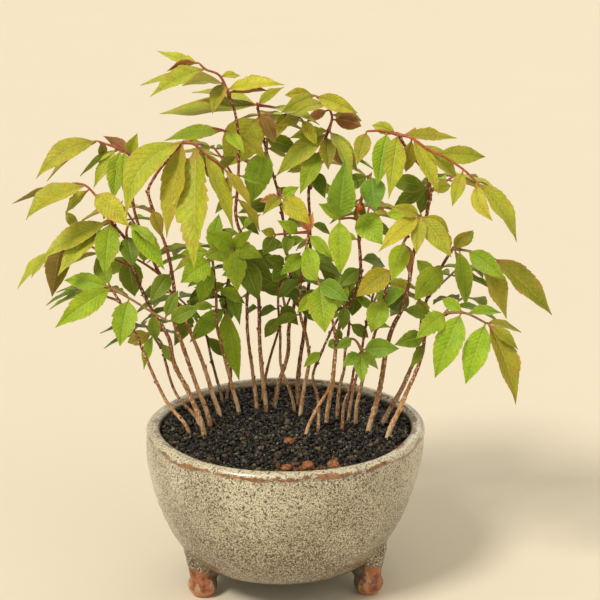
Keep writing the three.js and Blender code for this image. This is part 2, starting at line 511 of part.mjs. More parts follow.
// A clay grain lies in the soil's top to a third of its size; grown by the gap it is also its own seat
function makeGrain([x, y, radius], grow) {
  const shape = new THREE.IcosahedronGeometry(radius + grow, 0).scale(...GRAIN_FORM);
  return solidOf(shape.rotateZ(x).translate(x, y, soilHeight(x, y) + GRAIN_LIFT * radius));
}

// The real place of a point that is given as it is seen from the front, with how far back it lies
function seen([across, up, back]) {
  const far = 1 + back / -VIEWER.y;
  return new THREE.Vector3(VIEWER.x + (across - VIEWER.x) * far, back, VIEWER.z + (up - VIEWER.z) * far);
}

// A limb ends in a bud a little past its last point, which the leaflets there grow from
function withBud(points) {
  const [before, end] = points.slice(-2);
  return [...points, end.clone().add(end.clone().sub(before).setLength(BUD))];
}

// A tapered limb through the points. It is a closed cylinder bent along them, as a swept tube has one radius.
function makeLimb(points, radii, sides) {
  const steps = points.length - 1;
  const shape = new THREE.CylinderGeometry(1, 1, steps, sides, steps);
  const whole = points[steps].clone().sub(points[0]).normalize();
  const reference = Math.abs(whole.y) > 0.7 ? new THREE.Vector3(0, 0, 1) : new THREE.Vector3(0, -1, 0);
  const rings = points.map((point, i) => {
    const before = points[Math.max(i - 1, 0)];
    const after = points[Math.min(i + 1, steps)];
    const along = after.clone().sub(before).normalize();
    const side = new THREE.Vector3().crossVectors(along, reference).normalize();
    return { point, side, other: new THREE.Vector3().crossVectors(side, along) };
  });
  return solidOf(moveVertices(shape, (vertex) => {
    const step = Math.round(vertex.y + steps / 2);
    const radius = THREE.MathUtils.lerp(radii[1], radii[0], (1 - step / steps) ** TAPER);
    const { point, side, other } = rings[step];
    const [a, b] = [vertex.x * radius, vertex.z * radius];
    vertex.copy(point).addScaledVector(side, a).addScaledVector(other, b);
  }));
}

// The width of a blade along its length, as shares of the widest, by how many rows of points a leaflet has:
// four when it is longer than the first length, three when it is longer than the second
const LONG = 36;
const MIDDLING = 26;
const BLADE_OUTLINES = {
  2: [[0.34, 1], [0.68, 0.68]],
  3: [[0.26, 0.74], [0.5, 1], [0.78, 0.5]],
  4: [[0.2, 0.62], [0.4, 1], [0.62, 0.8], [0.83, 0.42]],
};

// One leaflet: two faces that meet in a sharp edge, folded up along the midrib and arched over its length
function makeBlade({ base, tip, normal, width, bow, rows }) {
  const chord = tip.clone().sub(base);
  const length = chord.length();
  const along = chord.clone().normalize();
  const side = new THREE.Vector3().crossVectors(along, normal).normalize();
  const face = new THREE.Vector3().crossVectors(side, along).normalize();
  const bend = face.clone().multiplyScalar(BLADE_ARCH * length).add(bow);
  const midrib = (s) => base.clone().addScaledVector(chord, s).addScaledVector(bend, 4 * s * (1 - s));
  const outline = BLADE_OUTLINES[rows || (length > LONG ? 4 : length > MIDDLING ? 3 : 2)];
  const vertices = [midrib(0)];
  for (const [row, [s, share]] of outline.entries()) {
    const middle = midrib(s);
    const half = (share * width) / 2;
    const rise = (BLADE_FOLD + (row % 2 === 0 ? BLADE_WAVE : -BLADE_WAVE)) * half;
    vertices.push(middle.clone().addScaledVector(side, -half).addScaledVector(face, rise));
    vertices.push(middle.clone().addScaledVector(face, BLADE_THICK / 2));
    vertices.push(middle.clone().addScaledVector(side, half).addScaledVector(face, rise));
    vertices.push(middle.clone().addScaledVector(face, -BLADE_THICK / 2));
  }
  vertices.push(midrib(1));
  const last = vertices.length - 1;
  const triangles = [[0, 2, 1], [0, 3, 2], [0, 1, 4], [0, 4, 3]];
  for (let i = 1; i + 4 < last; i += 4) {
    const [left, top, right, under] = [i, i + 1, i + 2, i + 3];
    triangles.push([left, top, top + 4], [left, top + 4, left + 4]);
    triangles.push([top, right, top + 4], [right, right + 4, top + 4]);
    triangles.push([left, under + 4, under], [left, left + 4, under + 4]);
    triangles.push([under, under + 4, right], [right, under + 4, right + 4]);
  }
  const i = last - 4;
  triangles.push([i, i + 1, last], [i + 1, i + 2, last], [i + 2, i + 3, last], [i + 3, i, last]);
  const geometry = new THREE.BufferGeometry();
  const position = new Float32Array(vertices.flatMap((v) => v.toArray()));
  geometry.setAttribute('position', new THREE.BufferAttribute(position, 3));
  geometry.setIndex(triangles.flat());
  return solidOf(geometry);
}

// The point of a seen line that is closest to a seen place, with the line's own depth there
function onLine(line, across, up) {
  let best = null;
  for (let i = 0; i + 1 < line.length; i += 1) {
    const [a, b] = [line[i], line[i + 1]];
    const run = (b[0] - a[0]) ** 2 + (b[1] - a[1]) ** 2;
    const share = ((across - a[0]) * (b[0] - a[0]) + (up - a[1]) * (b[1] - a[1])) / run;
    const t = THREE.MathUtils.clamp(share, 0, 1);
    const point = a.map((value, k) => value + (b[k] - value) * t);
    const distance = Math.hypot(point[0] - across, point[1] - up);
    if (best === null || distance < best.distance) best = { point, distance };
  }
  return best.point;
}

// A leaflet of the table. Its real width is at least its species' share of its length, and where it looks
// narrower than that it is turned about its length, upper face to the sky.
function seenBlade(line, [x0, z0, x1, z1, width, lean, bow], [shift, share]) {
  const root = onLine(line, x0, z0);
  const base = seen(root);
  const reach = [x1 - root[0], z1 - root[1], lean + shift];
  const tip = seen(root.map((value, k) => value + reach[k] * share));
  const along = tip.clone().sub(base).normalize();
  const length = tip.distanceTo(base);
  const real = Math.max(Math.abs(width), BLADE_RATIO * length);
  const sight = VIEWER.clone().sub(base);
  const facing = sight.addScaledVector(along, -sight.dot(along)).normalize();
  const turn = new THREE.Vector3().crossVectors(along, facing);
  const outward = new THREE.Vector3(base.x, base.y, SKYWARD);
  if (turn.dot(outward) < 0) turn.negate();
  const open = width / real;
  const normal = facing.multiplyScalar(open).addScaledVector(turn, Math.sqrt(1 - open * open));
  const across = new THREE.Vector3(-(tip.z - base.z), 0, tip.x - base.x).normalize();
  if (across.z < 0) across.negate();
  const seenBow = bow === undefined ? BLADE_BOW * length * across.z : bow;
  const arched = BLADE_ARCH * length * normal.dot(across);
  return { base, tip, normal, width: real, bow: across.multiplyScalar(seenBow - arched) };
}

// The leaflets of a leaf that is given by its stalk alone: pairs along it, and one at its end
function rearBlades(stalk) {
  const end = stalk[stalk.length - 1];
  const along = end.clone().sub(stalk[0]).normalize();
  const side = new THREE.Vector3(along.y, -along.x, 0).normalize();
  const grown = (base, { forward, sideways, drop, length }, hand) => {
    const way = along.clone().multiplyScalar(forward).addScaledVector(side, sideways * hand);
    way.z = -drop;
    const tip = base.clone().addScaledVector(way.normalize(), length);
    const normal = new THREE.Vector3(0, 0, 1);
    return { base, tip, normal, width: length * REAR_WIDTH, bow: new THREE.Vector3(), rows: 2 };
  };
  const pairs = REAR_PAIRS.flatMap((share) => {
    const base = stalk[1].clone().lerp(end, share);
    return [grown(base, REAR_PAIRED, 1), grown(base, REAR_PAIRED, -1)];
  });
  return [...pairs, grown(end.clone(), REAR_LAST, 1)];
}

// Where a solid takes room, so that no other seedling grows through it
function boxOf(solid) {
  const { min, max } = solid.boundingBox();
  return new THREE.Box3(new THREE.Vector3(...min), new THREE.Vector3(...max));
}

const occupied = [];

function occupy(owner, solid) {
  occupied.push({ owner, solid, box: boxOf(solid) });
}

// A leaflet is clear when nothing of another seedling lies within a small distance of either of its faces
function isClear(owner, blade) {
  const face = blade.normal.clone().normalize().multiplyScalar(CLEARANCE);
  for (const offset of [face, face.clone().negate(), new THREE.Vector3()]) {
    const moved = { base: blade.base.clone().add(offset), tip: blade.tip.clone().add(offset) };
    if (meets(makeBlade({ ...blade, ...moved }), (other) => other.owner !== owner)) return false;
  }
  return true;
}

// It is clear of its own seedling when the outer part of it crosses nothing there
function isClearOfOwn(owner, blade) {
  const outer = makeBlade({ ...blade, base: blade.base.clone().lerp(blade.tip, OUTER_PART) });
  return !meets(outer, (other) => other.owner === owner);
}

function meets(probe, counts) {
  const box = boxOf(probe);
  return occupied.some((other) => counts(other) && other.box.intersectsBox(box)
    && !probe.intersect(other.solid).isEmpty());
}

function makeStem(seedling) {
  const points = seedling.stem.map(seen);
  const root = points[0].clone();
  root.z = SOIL_EDGE - ROOT_DEPTH;
  const holeFoot = root.clone();
  holeFoot.z = SOIL_EDGE - HOLE_DEPTH;
  const radii = seedling.thick.map((thick) => thick / 2);
  const hole = radii[0] + HOLE_WIDER;
  return {
    solid: makeLimb(withBud([root, ...points]), radii, STEM_SIDES),
    hole: makeLimb([holeFoot, ...points.slice(0, 2)], [hole, hole], STEM_SIDES),
  };
}

// A seedling is its stem, its stalks and its leaflets in one solid
function growWood(seedling, name) {
  const stem = makeStem(seedling);
  const stalks = seedling.leaves.filter(([line]) => line.length > 0).map(([line]) => line.map(seen));
  const rear = seedling.rear.map((line) => line.map(seen));
  const radii = [STALK_RADIUS, STALK_RADIUS];
  const limbs = [...stalks, ...rear].map((line) => makeLimb(withBud(line), radii, STALK_SIDES));
  const solid = joined([stem.solid, ...limbs]);
  occupy(name, stem.solid);
  limbs.forEach((limb) => occupy(name, limb));
  return { solid, hole: stem.hole, rear };
}

function growLeaves(seedling, name, wood) {
  const blades = [];
  const place = (choices) => {
    const free = choices.filter((choice) => isClear(name, choice));
    if (free.length === 0) return;
    const blade = free.find((choice) => isClearOfOwn(name, choice)) || free[0];
    const solid = makeBlade(blade);
    occupy(name, solid);
    blades.push(solid);
  };
  for (const [line, leaflets] of seedling.leaves) {
    const carrier = line.length > 0 ? line : seedling.stem;
    for (const row of leaflets) place(TRIES.map((attempt) => seenBlade(carrier, row, attempt)));
  }
  for (const stalk of wood.rear) {
    for (const blade of rearBlades(stalk)) {
      place(REAR_DROPS.map((drop) => ({ ...blade, tip: blade.tip.clone().setZ(blade.tip.z - drop) })));
    }
  }
  return joined([wood.solid, ...blades]);
}

function colourOf(seedling) {
  const top = seedling.stem[seedling.stem.length - 1][1];
  if (top > TALL) return COLOURS.youngLeaf;
  return top < SHORT ? COLOURS.shadedLeaf : COLOURS.leaf;
}

const forest = new THREE.Group();
forest.position.set(...BOWL_PLACE, 0);

function addPiece(name, solid, colour) {
  const mesh = new THREE.Mesh(geometryOf(solid), new THREE.MeshStandardMaterial(colour));
  mesh.name = name;
  forest.add(mesh);
}

const names = SEEDLINGS.map((_, i) => `tree_${String(i + 1).padStart(2, '0')}`);
const woods = SEEDLINGS.map((seedling, i) => growWood(seedling, names[i]));
addPiece('bowl', makeBowl(), COLOURS.bowl);
addPiece('soil', makeSoil(woods, GRAINS.map((grain) => makeGrain(grain, GAP))), COLOURS.soil);
GRAINS.forEach((grain, i) => addPiece(`clay_grain_${i + 1}`, makeGrain(grain, 0), COLOURS.grain));
SEEDLINGS.forEach((seedling, i) => {
  addPiece(names[i], growLeaves(seedling, names[i], woods[i]), colourOf(seedling));
});

const part = new THREE.Group();
part.add(forest);
export default part;
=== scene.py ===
"""The looks of a forest of wax-tree seedlings in a speckled stoneware bowl, built round its CAD solids."""

import json
import math
import random

import bmesh
import bpy
import numpy as np
from mathutils import Matrix, Vector, noise
from mathutils.bvhtree import BVHTree


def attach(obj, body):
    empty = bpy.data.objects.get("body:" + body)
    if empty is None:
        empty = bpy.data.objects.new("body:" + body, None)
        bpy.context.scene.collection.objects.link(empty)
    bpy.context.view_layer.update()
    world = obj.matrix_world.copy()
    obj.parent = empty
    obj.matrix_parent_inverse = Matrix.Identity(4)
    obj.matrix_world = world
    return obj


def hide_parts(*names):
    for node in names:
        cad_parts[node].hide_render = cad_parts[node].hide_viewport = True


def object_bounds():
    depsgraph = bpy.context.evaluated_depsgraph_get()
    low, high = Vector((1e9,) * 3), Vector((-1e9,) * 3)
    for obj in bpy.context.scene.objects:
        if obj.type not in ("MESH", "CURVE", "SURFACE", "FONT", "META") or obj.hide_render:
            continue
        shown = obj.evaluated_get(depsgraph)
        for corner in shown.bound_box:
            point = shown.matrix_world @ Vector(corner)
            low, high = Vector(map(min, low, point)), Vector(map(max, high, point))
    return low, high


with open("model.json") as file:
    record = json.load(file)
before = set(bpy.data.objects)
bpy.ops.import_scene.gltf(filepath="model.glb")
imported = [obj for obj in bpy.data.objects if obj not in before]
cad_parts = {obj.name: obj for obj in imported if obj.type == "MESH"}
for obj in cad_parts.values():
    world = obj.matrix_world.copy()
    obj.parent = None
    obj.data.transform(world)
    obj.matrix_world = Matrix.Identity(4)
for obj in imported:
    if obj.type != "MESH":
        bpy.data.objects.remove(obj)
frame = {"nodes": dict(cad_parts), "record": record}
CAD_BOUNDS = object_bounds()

# Shapes are worked out in millimetres with the bowl's axis at x = y = 0, as in the CAD source. The axis lies
# here in the frame, and this factor makes metres of it.
BOWL_PLACE = (0.6, -8.9, 0.0)
MM = 0.001

# Edges sharper than this stay sharp where a piece is shaded smoothly
SHARP_ANGLE = 62.0

# Camera, fitted to the bowl's rim and feet in the photograph
CAMERA_PLACE = (0.0062, -0.6323, 0.2981)
CAMERA_PITCH = 16.44
CAMERA_LENS = 101.75
SENSOR = 36.0
CAMERA_REACH = 50.0

# The camera's place in millimetres about the bowl's axis, from which the seedlings' points are seen
VIEWER = Vector((5.6, -623.4, 298.1))

# Light: name, direction that it comes from, strength, width of its source in degrees, and colour
SUNS = [
    ("key", (-0.60, -0.62, 1.0), 2.1, 16, (1.0, 0.95, 0.87)),
    ("fill", (0.85, -0.80, 0.55), 0.35, 60, (1.0, 0.96, 0.90)),
    ("back", (0.30, 0.90, 0.80), 0.55, 50, (1.0, 0.97, 0.92)),
]
WORLD_COLOUR = (1.0, 0.94, 0.82)
WORLD_STRENGTH = 0.52
FLOOR_SIDE = 40.0
FLOOR_COLOUR = (0.80, 0.72, 0.56)
FLOOR_DIMMED = 0.97

# Bowl, the same sizes as its solid
BOWL_RADIUS = 55.0
LIP_HALF = 2.8
LIP_HEIGHT = 62.1
FLOOR_UNDER = 9.0
FLOOR_TOP = 12.0
DRAIN_RADIUS = 5.0
OUTER_WALL = [(24, 9), (33, 10.8), (39.8, 15), (47.8, 28), (54, 47.9), (55, 62.1)]
INNER_WALL = [(49.4, 62.1), (47.6, 46), (42.4, 27.5), (34, 16.5), (24, 12)]
RIM_DENTS = [(142, 1.0), (205, 1.1), (337, 1.2)]
DENT_SPREAD = 20.0
WALL_LEAN = 1.4
FEET = [(-32.5, -19.5), (32.5, -17.5), (0.0, 38.0)]
FOOT_PROFILE = [(0, 0), (2.8, 0), (4.5, 0.8), (5.6, 2.4), (6.0, 4.3), (5.6, 6.4), (4.6, 8.4), (0, 10.5)]
FOOT_SIDES = 36
TAB_LOW, TAB_OUT, TAB_HIGH = 6.0, 5.4, 22.0
TAB_RADII = (4.6, 3.0)
WEB_OUT, WEB_HIGH = -7.0, 13.5
WEB_RADII = (3.6, 4.4)
TAB_RINGS = 9
BOWL_SIDES = 160
BOWL_VOXEL = 0.72
OUTER_STEPS, LIP_STEPS, INNER_STEPS = 40, 17, 24

# Where the feet run into the wall: the distances from a foot, and the heights at which this starts and ends.
# The skin is evened there more than elsewhere.
FOOT_SPLAY = 1.07
FLOW_SPREAD = (15, 9)
FLOW_START = (6.5, 12.0)
FLOW_END = (32, 24)
EVENING, FLOW_EVENING = 0.12, 0.70
EVENING_ROUNDS = 9

# The outside of the wall lies past these radii, and past the middle of the rim, which slants
OUTSIDE = (30, 40)
RIM_MIDDLE = 50.2
RIM_SLANT = 0.25

# Noise round the bowl: how many waves it has, and its seed
SLOW_SWAY, QUICK_SWAY, TURNING_SWAY, RIM_SWELL = (1.6, 3.0), (5.0, 5.0), (0.9, 7.0), (2.2, 11.0)
STREAKS, SECOND_STREAKS, RIM_STREAKS = (5.0, 21.0), (3.0, 33.0), (7.0, 41.0)

# The groove under the lip, the marks of the wheel, and lumps and dips in the skin
GROOVE_HEIGHT = 60.7
GROOVE_DEPTH = 0.5
GROOVE_HALF = 0.9
GROOVE_SWAYS = (1.4, 1.1)
MARK_PITCH, MARK_SWAY, MARK_DEPTH = 1.25, 1.5, 0.16
MARK_END = (56, 48)
LUMP_SCALE, FINE_LUMP_SCALE, FINE_LUMP = 0.09, 0.24, 0.5
LUMP_DEPTH, LIP_SMOOTHER = 0.22, 0.16
LIP_START = (59, 62)
RIM_UNEVEN = 0.35
RIM_START = (60, 64)

# Iron in the glaze: a line above the groove, a fainter one below it, and one on the inner edge of the lip,
# each with how strong it is and how much that changes round the bowl
IRON_UP, IRON_HALF, IRON_STRENGTH = 1.2, 1.25, (0.80, 0.75)
SECOND_DOWN, SECOND_SWAY, SECOND_HALF, SECOND_STRENGTH = 3.2, 1.2, 0.9, (0.22, 0.80)
EDGE_HEIGHT, EDGE_HALF, EDGE_RADIUS, EDGE_STRENGTH = 64.2, 0.7, 51.8, (0.55, 0.9)

# Where the glaze gives way on the feet and is worn off below: how far its edge drips, distances and heights
DRIP, DRIP_SCALE, BARE_DRIP = 3.2, 0.22, 0.6
GLAZE_END_SPREAD, GLAZE_END_HEIGHTS = (12.5, 8.5), (15.5, 8.5)
BARE_SPREAD, BARE_HEIGHTS = (12, 9), (3.2, 1.2)
# Heights between which the inside, the lip (above the groove) and the low part of the wall set in. The inside
# and the low part are darkened there with painted shade.
INSIDE_START = (63.4, 62.2)
LIP_BAND = (1.0, 2.4)
LOW_WALL = (50, 14)

# Glaze: its pale and greyer parts, the painted shade low down, bright flecks, dark grain of two kinds and the
# lighter lip, then iron, the clay of the feet with thin runs of glaze and where it is bare, both their own
# red made redder in part by a painted red bounce, and the painted shade inside
GLAZE_COLOURS = (0.635, 0.575, 0.400), (0.475, 0.425, 0.280)
GLAZE_LOW_SHADE = (0.330, 0.262, 0.152)
GLAZE_FLECK = (0.88, 0.85, 0.68)
GLAZE_GRAINS = (0.070, 0.032, 0.011), (0.056, 0.027, 0.010)
GLAZE_LIP = (0.78, 0.69, 0.47)
RUST_COLOURS = (0.095, 0.033, 0.012), (0.350, 0.140, 0.045)
# The feet's clay and bare colours are their own iron red, made redder in part as a painted red bounce
FOOT_CLAY_AND_BOUNCE = (0.150, 0.034, 0.010), (0.400, 0.118, 0.030)
DRIP_COLOUR = (0.600, 0.400, 0.230)
BARE_CLAY_AND_BOUNCE = (0.42, 0.140, 0.043), (0.58, 0.235, 0.082)
INSIDE_SHADE_COLOURS = (0.045, 0.032, 0.016), (0.110, 0.085, 0.045)
# Scale of the cells, size of a speck in its cell, share of the cells without one, and colour
GLAZE_SPECKS = [
    (760.0, 0.38, 0.45, (0.050, 0.030, 0.015)),
    (430.0, 0.27, 0.35, (0.120, 0.045, 0.018)),
    (190.0, 0.20, 0.25, (0.210, 0.080, 0.030)),
]

# Soil, the same sizes as its solid
GAP = 0.3
SOIL_EDGE = 60.6
SOIL_DOME = 1.6
SOIL_LUMP = 0.75
SOIL_RIM = 48.9
ROOT_DEPTH = 9.0
CLAY_GRAINS = [(1.4, -17, 2.3), (0.8, -42.2, 2.1), (8.6, -41.4, 2.8), (17.8, -39.6, 2.7)]
CLAY_SHAPE = (1.0, 0.85, 0.7)
CLAY_SIZE, CLAY_LIFT, CLAY_DETAIL = 0.93, 0.25, 4
CLAY_DENT, CLAY_DENT_SCALE, CLAY_GRIT, CLAY_GRIT_SCALE = 0.22, 1.6, 0.07, 5.0
CLAY_RAMP = [(0.3, (0.09, 0.028, 0.011)), (0.5, (0.34, 0.125, 0.046)), (0.72, (0.60, 0.30, 0.130))]

# The fill under the granules, which ends a little below the solid's top and beside its edge
FILL_SIDES, FILL_RINGS, FILL_HUB = 120, 40, 0.5
FILL_EDGE, FILL_DROP = 0.6, 0.7

# Granules: each layer's lift and how much wider it is spaced, and between what each thing is drawn
GRANULE_SPACING = 1.12
GRANULE_LAYERS = [(-0.25, 1.0), (0.25, 1.35)]
GRANULE_SIZES, GRANULE_CHANGES = (0.5, 1.15), (0.75, 1.1)
GRANULE_LEVELS = (-0.25, 0.3)
GRANULE_CORNERS, GRANULE_WIDTHS = (0.72, 1.2), (0.75, 1.1)
GRANULE_SHADES = (0.7, 1.35)
WALL_CLEAR, STEM_CLEAR, CLAY_CLEAR, CLAY_SUNK = 0.8, 0.55, 0.4, 0.75
GRANULE_DETAIL = 1
HEAP_RISE = 0.9
HEAP_WIDTH = 5.0

# The blacks and browns of the granules, whose lightest ones are partly lighter grains and partly painted
# glints, and how many have each, and the reddish crumbs round the clay grains
GRANULE_TONES_AND_GLINTS = [(0.009, 0.007, 0.005), (0.022, 0.017, 0.012), (0.005, 0.004, 0.003), (0.085, 0.066, 0.038),
          (0.200, 0.170, 0.098), (0.200, 0.085, 0.032)]
BLACK_SHARES = [0.29, 0.23, 0.21, 0.15, 0.10, 0.02]
BLACK_GRAIN = (0.45, 0.42, 0.40)
CRUMB = (0.30, 0.105, 0.036)
CRUMB_REACH = 5.0
CRUMB_SHARE = 0.30

# Leaflets, the same form as in the solids
BLADE_RATIO = 0.34
BLADE_FOLD = 0.22
BLADE_WAVE = 0.1
BLADE_ARCH = 0.08
BLADE_BOW = 0.06
TRIES = [(0, 1), (-4, 1), (4, 1), (-8, 1), (8, 1), (-12, 1), (12, 1), (-17, 1), (17, 1),
         (0, 0.7), (-6, 0.7), (6, 0.7), (-12, 0.7), (12, 0.7)]
REAR_PAIRS = (0, 0.75)
REAR_LENGTH = 20.0
REAR_WIDTH = 0.4
REAR_DROPS = (0, 4, -4, 8, -8)
REAR_FORWARD, REAR_ASIDE, REAR_FALL = 0.45, 0.85, 0.35
REAR_LAST_SIZE, REAR_LAST_FALL = 1.1, 0.5
REAR_LOOKS = {"young_leaf": "yyogGY", "leaf": "mgMmd", "shaded_leaf": "ddmMD"}

# Small leaflets deep in the crown, which the solids have no triangles left for
INNER_SPACING = 8
INNER_HEIGHTS = (106.0, 178.0)
INNER_REACH = 48.0
INNER_FRONT = 1.0
INNER_LENGTHS = (11.0, 19.0)
INNER_TURNS = (30.0, 85.0)
INNER_DROPS = (0.1, 1.0)
INNER_FACING = (0.0, -0.7, 0.7)
INNER_WIDTH = 0.38
INNER_TRIES = 12
# Their dark looks are painted shade of the crown's inside
INNER_SHADE_LOOKS = "ddddmb"
INNER_SUNNY = 156.0
INNER_SUNNY_LOOKS = "oyrom"
# The faces between a leaflet's foot, its tip and its two pairs of margin points
FLAT_FACES = [(0, 2, 3), (2, 4, 5, 3), (4, 1, 5)]

# The margins of the solids' leaflets, pair by pair of points: how far along a pair is, and how wide apart.
# Leaflets longer than these have four pairs or three, and shorter ones two.
LONG, MIDDLING = 36.0, 26.0
CAD_OUTLINES = {
    2: [(0.34, 1), (0.68, 0.68)],
    3: [(0.26, 0.74), (0.5, 1), (0.78, 0.5)],
    4: [(0.2, 0.62), (0.4, 1), (0.62, 0.8), (0.83, 0.42)],
}
# How near the solid's surface a leaflet's outline has to lie to be that leaflet, and how much of it
MATCH_DISTANCE = 0.15
MATCH_SHARE = 0.55

# The places across a blade that its grid has, and the thin stalk that it starts with
COLUMNS = np.array([-1.0, -0.86, -0.6, -0.3, -0.07, 0.0, 0.07, 0.3, 0.6, 0.86, 1.0])
PETIOLULE = 1.4
PETIOLULE_MOST = 0.12
PETIOLULE_RADIUS = 0.36

# Teeth: their spacing, where they start and end, the three stations of each with how far it is cut in there,
# and their depth as a share of the half width
TOOTH_PITCHES = (2.9, 4.4)
TOOTH_SPAN = (0.10, 0.92)
TOOTH_STEPS = ((0.0, -1.0), (0.45, -0.5), (0.88, 0.0))
TOOTH_DEPTHS, SMOOTH_DEPTHS = (0.14, 0.23), (0.04, 0.11)
TOOTH_CHANGES = (0.2, 1.3)
LAST_CUT, NEAR_TIP, TOOTH_FADE = 0.4, 0.965, 0.35

# Places along a blade and the width there, of a short blade and of a long one, whose tip is drawn out
BROAD = [(0, 0), (0.06, 0.42), (0.2, 0.84), (0.38, 1.0), (0.58, 0.88), (0.76, 0.56), (0.9, 0.22), (1, 0)]
DRAWN_OUT = [(0, 0), (0.06, 0.34), (0.2, 0.76), (0.38, 1.0), (0.56, 0.90), (0.72, 0.55), (0.86, 0.20), (1, 0)]
SLENDERNESS = (2.2, 3.6)
WIDTH_STEPS = 60

# How one leaflet differs from the next: its fold, the waves of its margins, its twist and its tone
FOLD_CHANGES, FOLD_CURVE = (-0.06, 0.20), 1.4
WAVE_SIZES, WAVE_COUNTS = (0.04, 0.13), (1.6, 3.2)
TWISTS, TWIST_MIDDLE = (-0.22, 0.22), 0.4
SHADES, WARMTHS = (-0.16, 0.14), (-0.10, 0.10)
BROWN_CHANGES, UNDER_BROWN = (0.6, 1.2), 0.4

# Relief of a blade: side veins with the blade puffed up between them, its half thickness, and its midrib
VEINS = 12.0
VEIN_SLANT = 2.3
QUILT, QUILT_FULL, QUILT_START = 0.09, 3, 6
BLADE_HALF, TIP_THIN, MARGIN_LEAST = 0.15, 0.3, 0.06
RIB_GROOVE, RIB_DEPTH, RIB_WIDTH, RIB_FADE = 0.09, 0.30, 0.06, 0.6

# What a leaflet looks like, by letter: upper face, under face, how brown its middle and margin are
LEAF_LOOKS = {
    "y": ((0.535, 0.525, 0.032), (0.400, 0.270, 0.052), 0.70),
    "l": ((0.570, 0.510, 0.038), (0.320, 0.200, 0.050), 0.50),
    "g": ((0.385, 0.535, 0.017), (0.280, 0.330, 0.050), 0.20),
    "m": ((0.340, 0.465, 0.019), (0.240, 0.290, 0.050), 0.20),
    # d is dark green: partly the leaflet's own older green, partly painted shade inside the crown
    "d": ((0.192, 0.268, 0.011), (0.150, 0.190, 0.035), 0.10),
    "o": ((0.392, 0.355, 0.018), (0.370, 0.215, 0.050), 0.85),
    "b": ((0.238, 0.388, 0.027), (0.170, 0.260, 0.060), 0.05),
    "r": ((0.400, 0.210, 0.036), (0.380, 0.140, 0.045), 0.90),
    "p": ((0.640, 0.270, 0.080), (0.560, 0.190, 0.080), 0.60),
    "s": ((0.950, 0.330, 0.150), (0.850, 0.250, 0.120), 0.30),
}
STALK_RED = (0.460, 0.120, 0.048)
STALK_GREEN = (0.360, 0.210, 0.075)
STALK_GRAIN = (0.6, 0.5, 0.5)

# What a leaflet's colour is multiplied by in its darker blotches and its painted shade by the midrib, in its
# painted highlight on the puffs between its veins and in its grain, and what it goes to in brown patches and
# at its foot, and on the veins and margin of a green and a brown leaflet
LEAF_MOTTLE_AND_SHADE, LEAF_PUFF_HIGHLIGHT, LEAF_GRAIN = (0.56, 0.70, 0.55), (1.28, 1.20, 1.10), (0.64, 0.70, 0.66)
LEAF_PATCH = (0.470, 0.235, 0.050)
LEAF_FOOT = (0.400, 0.130, 0.045)
VEIN_COLOURS = (0.560, 0.520, 0.130), (0.620, 0.300, 0.110)
MARGIN_COLOURS = (0.560, 0.520, 0.120), (0.580, 0.270, 0.070)

# Stalks: their radius, and how much thicker they are at the foot and along the way to their end
STALK_SPACING, STALK_SIDES = 0.8, 8
STALK_RADIUS, STALK_FOOT, STALK_FOOT_REACH, STALK_TAPER, STALK_END = 0.42, 0.36, 1.6, 0.10, 0.6
STALK_SHADES = (0.8, 1.2)

# Bark: its colours from the soil to the top, its orange patches, and those of dark stems, streaks and pores
BARK_RAMP = [(0.0, (1.00, 0.70, 0.40)), (0.14, (0.86, 0.53, 0.27)), (0.34, (0.49, 0.240, 0.095)),
             (0.60, (0.32, 0.125, 0.048)), (0.82, (0.26, 0.082, 0.034)), (1.0, (0.38, 0.10, 0.040))]
BARK_ORANGE = (0.50, 0.20, 0.055)
BARK_DEEP, BARK_STREAK = (0.42, 0.35, 0.35), (0.40, 0.32, 0.28)
BARK_PORE = (0.90, 0.68, 0.42)
# The colours reach their end at the stem's top, or at this height on a taller one
BARK_HEIGHT = 75.0

# Stems of the lighter and the darker kind, by the number of the seedling
PALE_STEMS = {1, 5, 7, 15, 16, 25}
DARK_STEMS = {6, 8, 14, 17, 24}
STEM_DARKNESS = (0.25, 0.6)

# Stems: how they taper, swell at the foot, and are lumpy (how much, and the scale of it)
STEM_SPACING, STEM_SIDES = 0.85, 12
STEM_TIP, STEM_TAPER, STEM_WIDTH = 1.2, 1.8, 0.88
STEM_FOOT, STEM_FOOT_REACH = 0.08, 1.6
STEM_LUMPS = [(0.10, 1.3), (0.06, 4.0)]
LUMP_STRETCH, LUMP_SEED = 0.35, 10
STEM_ENDS = (0.85, 0.25)

# Knots, from the top down: where the first is, their spacing and the lowest, and how they swell to one side
KNOT_FIRST, KNOT_PITCHES, KNOT_LOWEST = (2, 4), (3.5, 9.5), 5
KNOT_SWELLS, KNOT_WIDTHS = (0.14, 0.26), (0.5, 0.9)
KNOT_ALL_ROUND, KNOT_ONE_SIDE = 0.55, 0.45

# The small pointed bud at every other knot: how deep it sits, its lean out and up, its rings, and its tone
KNOT_BUD_ROOT, KNOT_BUD_OUT, KNOT_BUD_UP = 0.6, 0.5, 0.86
KNOT_BUD_STEPS = (0.0, 0.45, 0.9, 1.3)
KNOT_BUD_RADII = (0.42, 0.46, 0.30, 0.06)
KNOT_BUD_SIDES = 6
KNOT_BUD_LEVEL = 0.95

# One seedling has a plump red bud on its stem, at this seen place
RED_BUDS = {18: (27.2, 150.7)}
BUD_RED = (0.800, 0.110, 0.020)
BUD_FORWARD = 1.0
BUD_HEIGHTS = (-1.5, -1.0, -0.2, 0.7, 1.4, 1.8)
BUD_RADII = (0.3, 0.85, 1.15, 1.0, 0.6, 0.15)
BUD_SIDES = 12

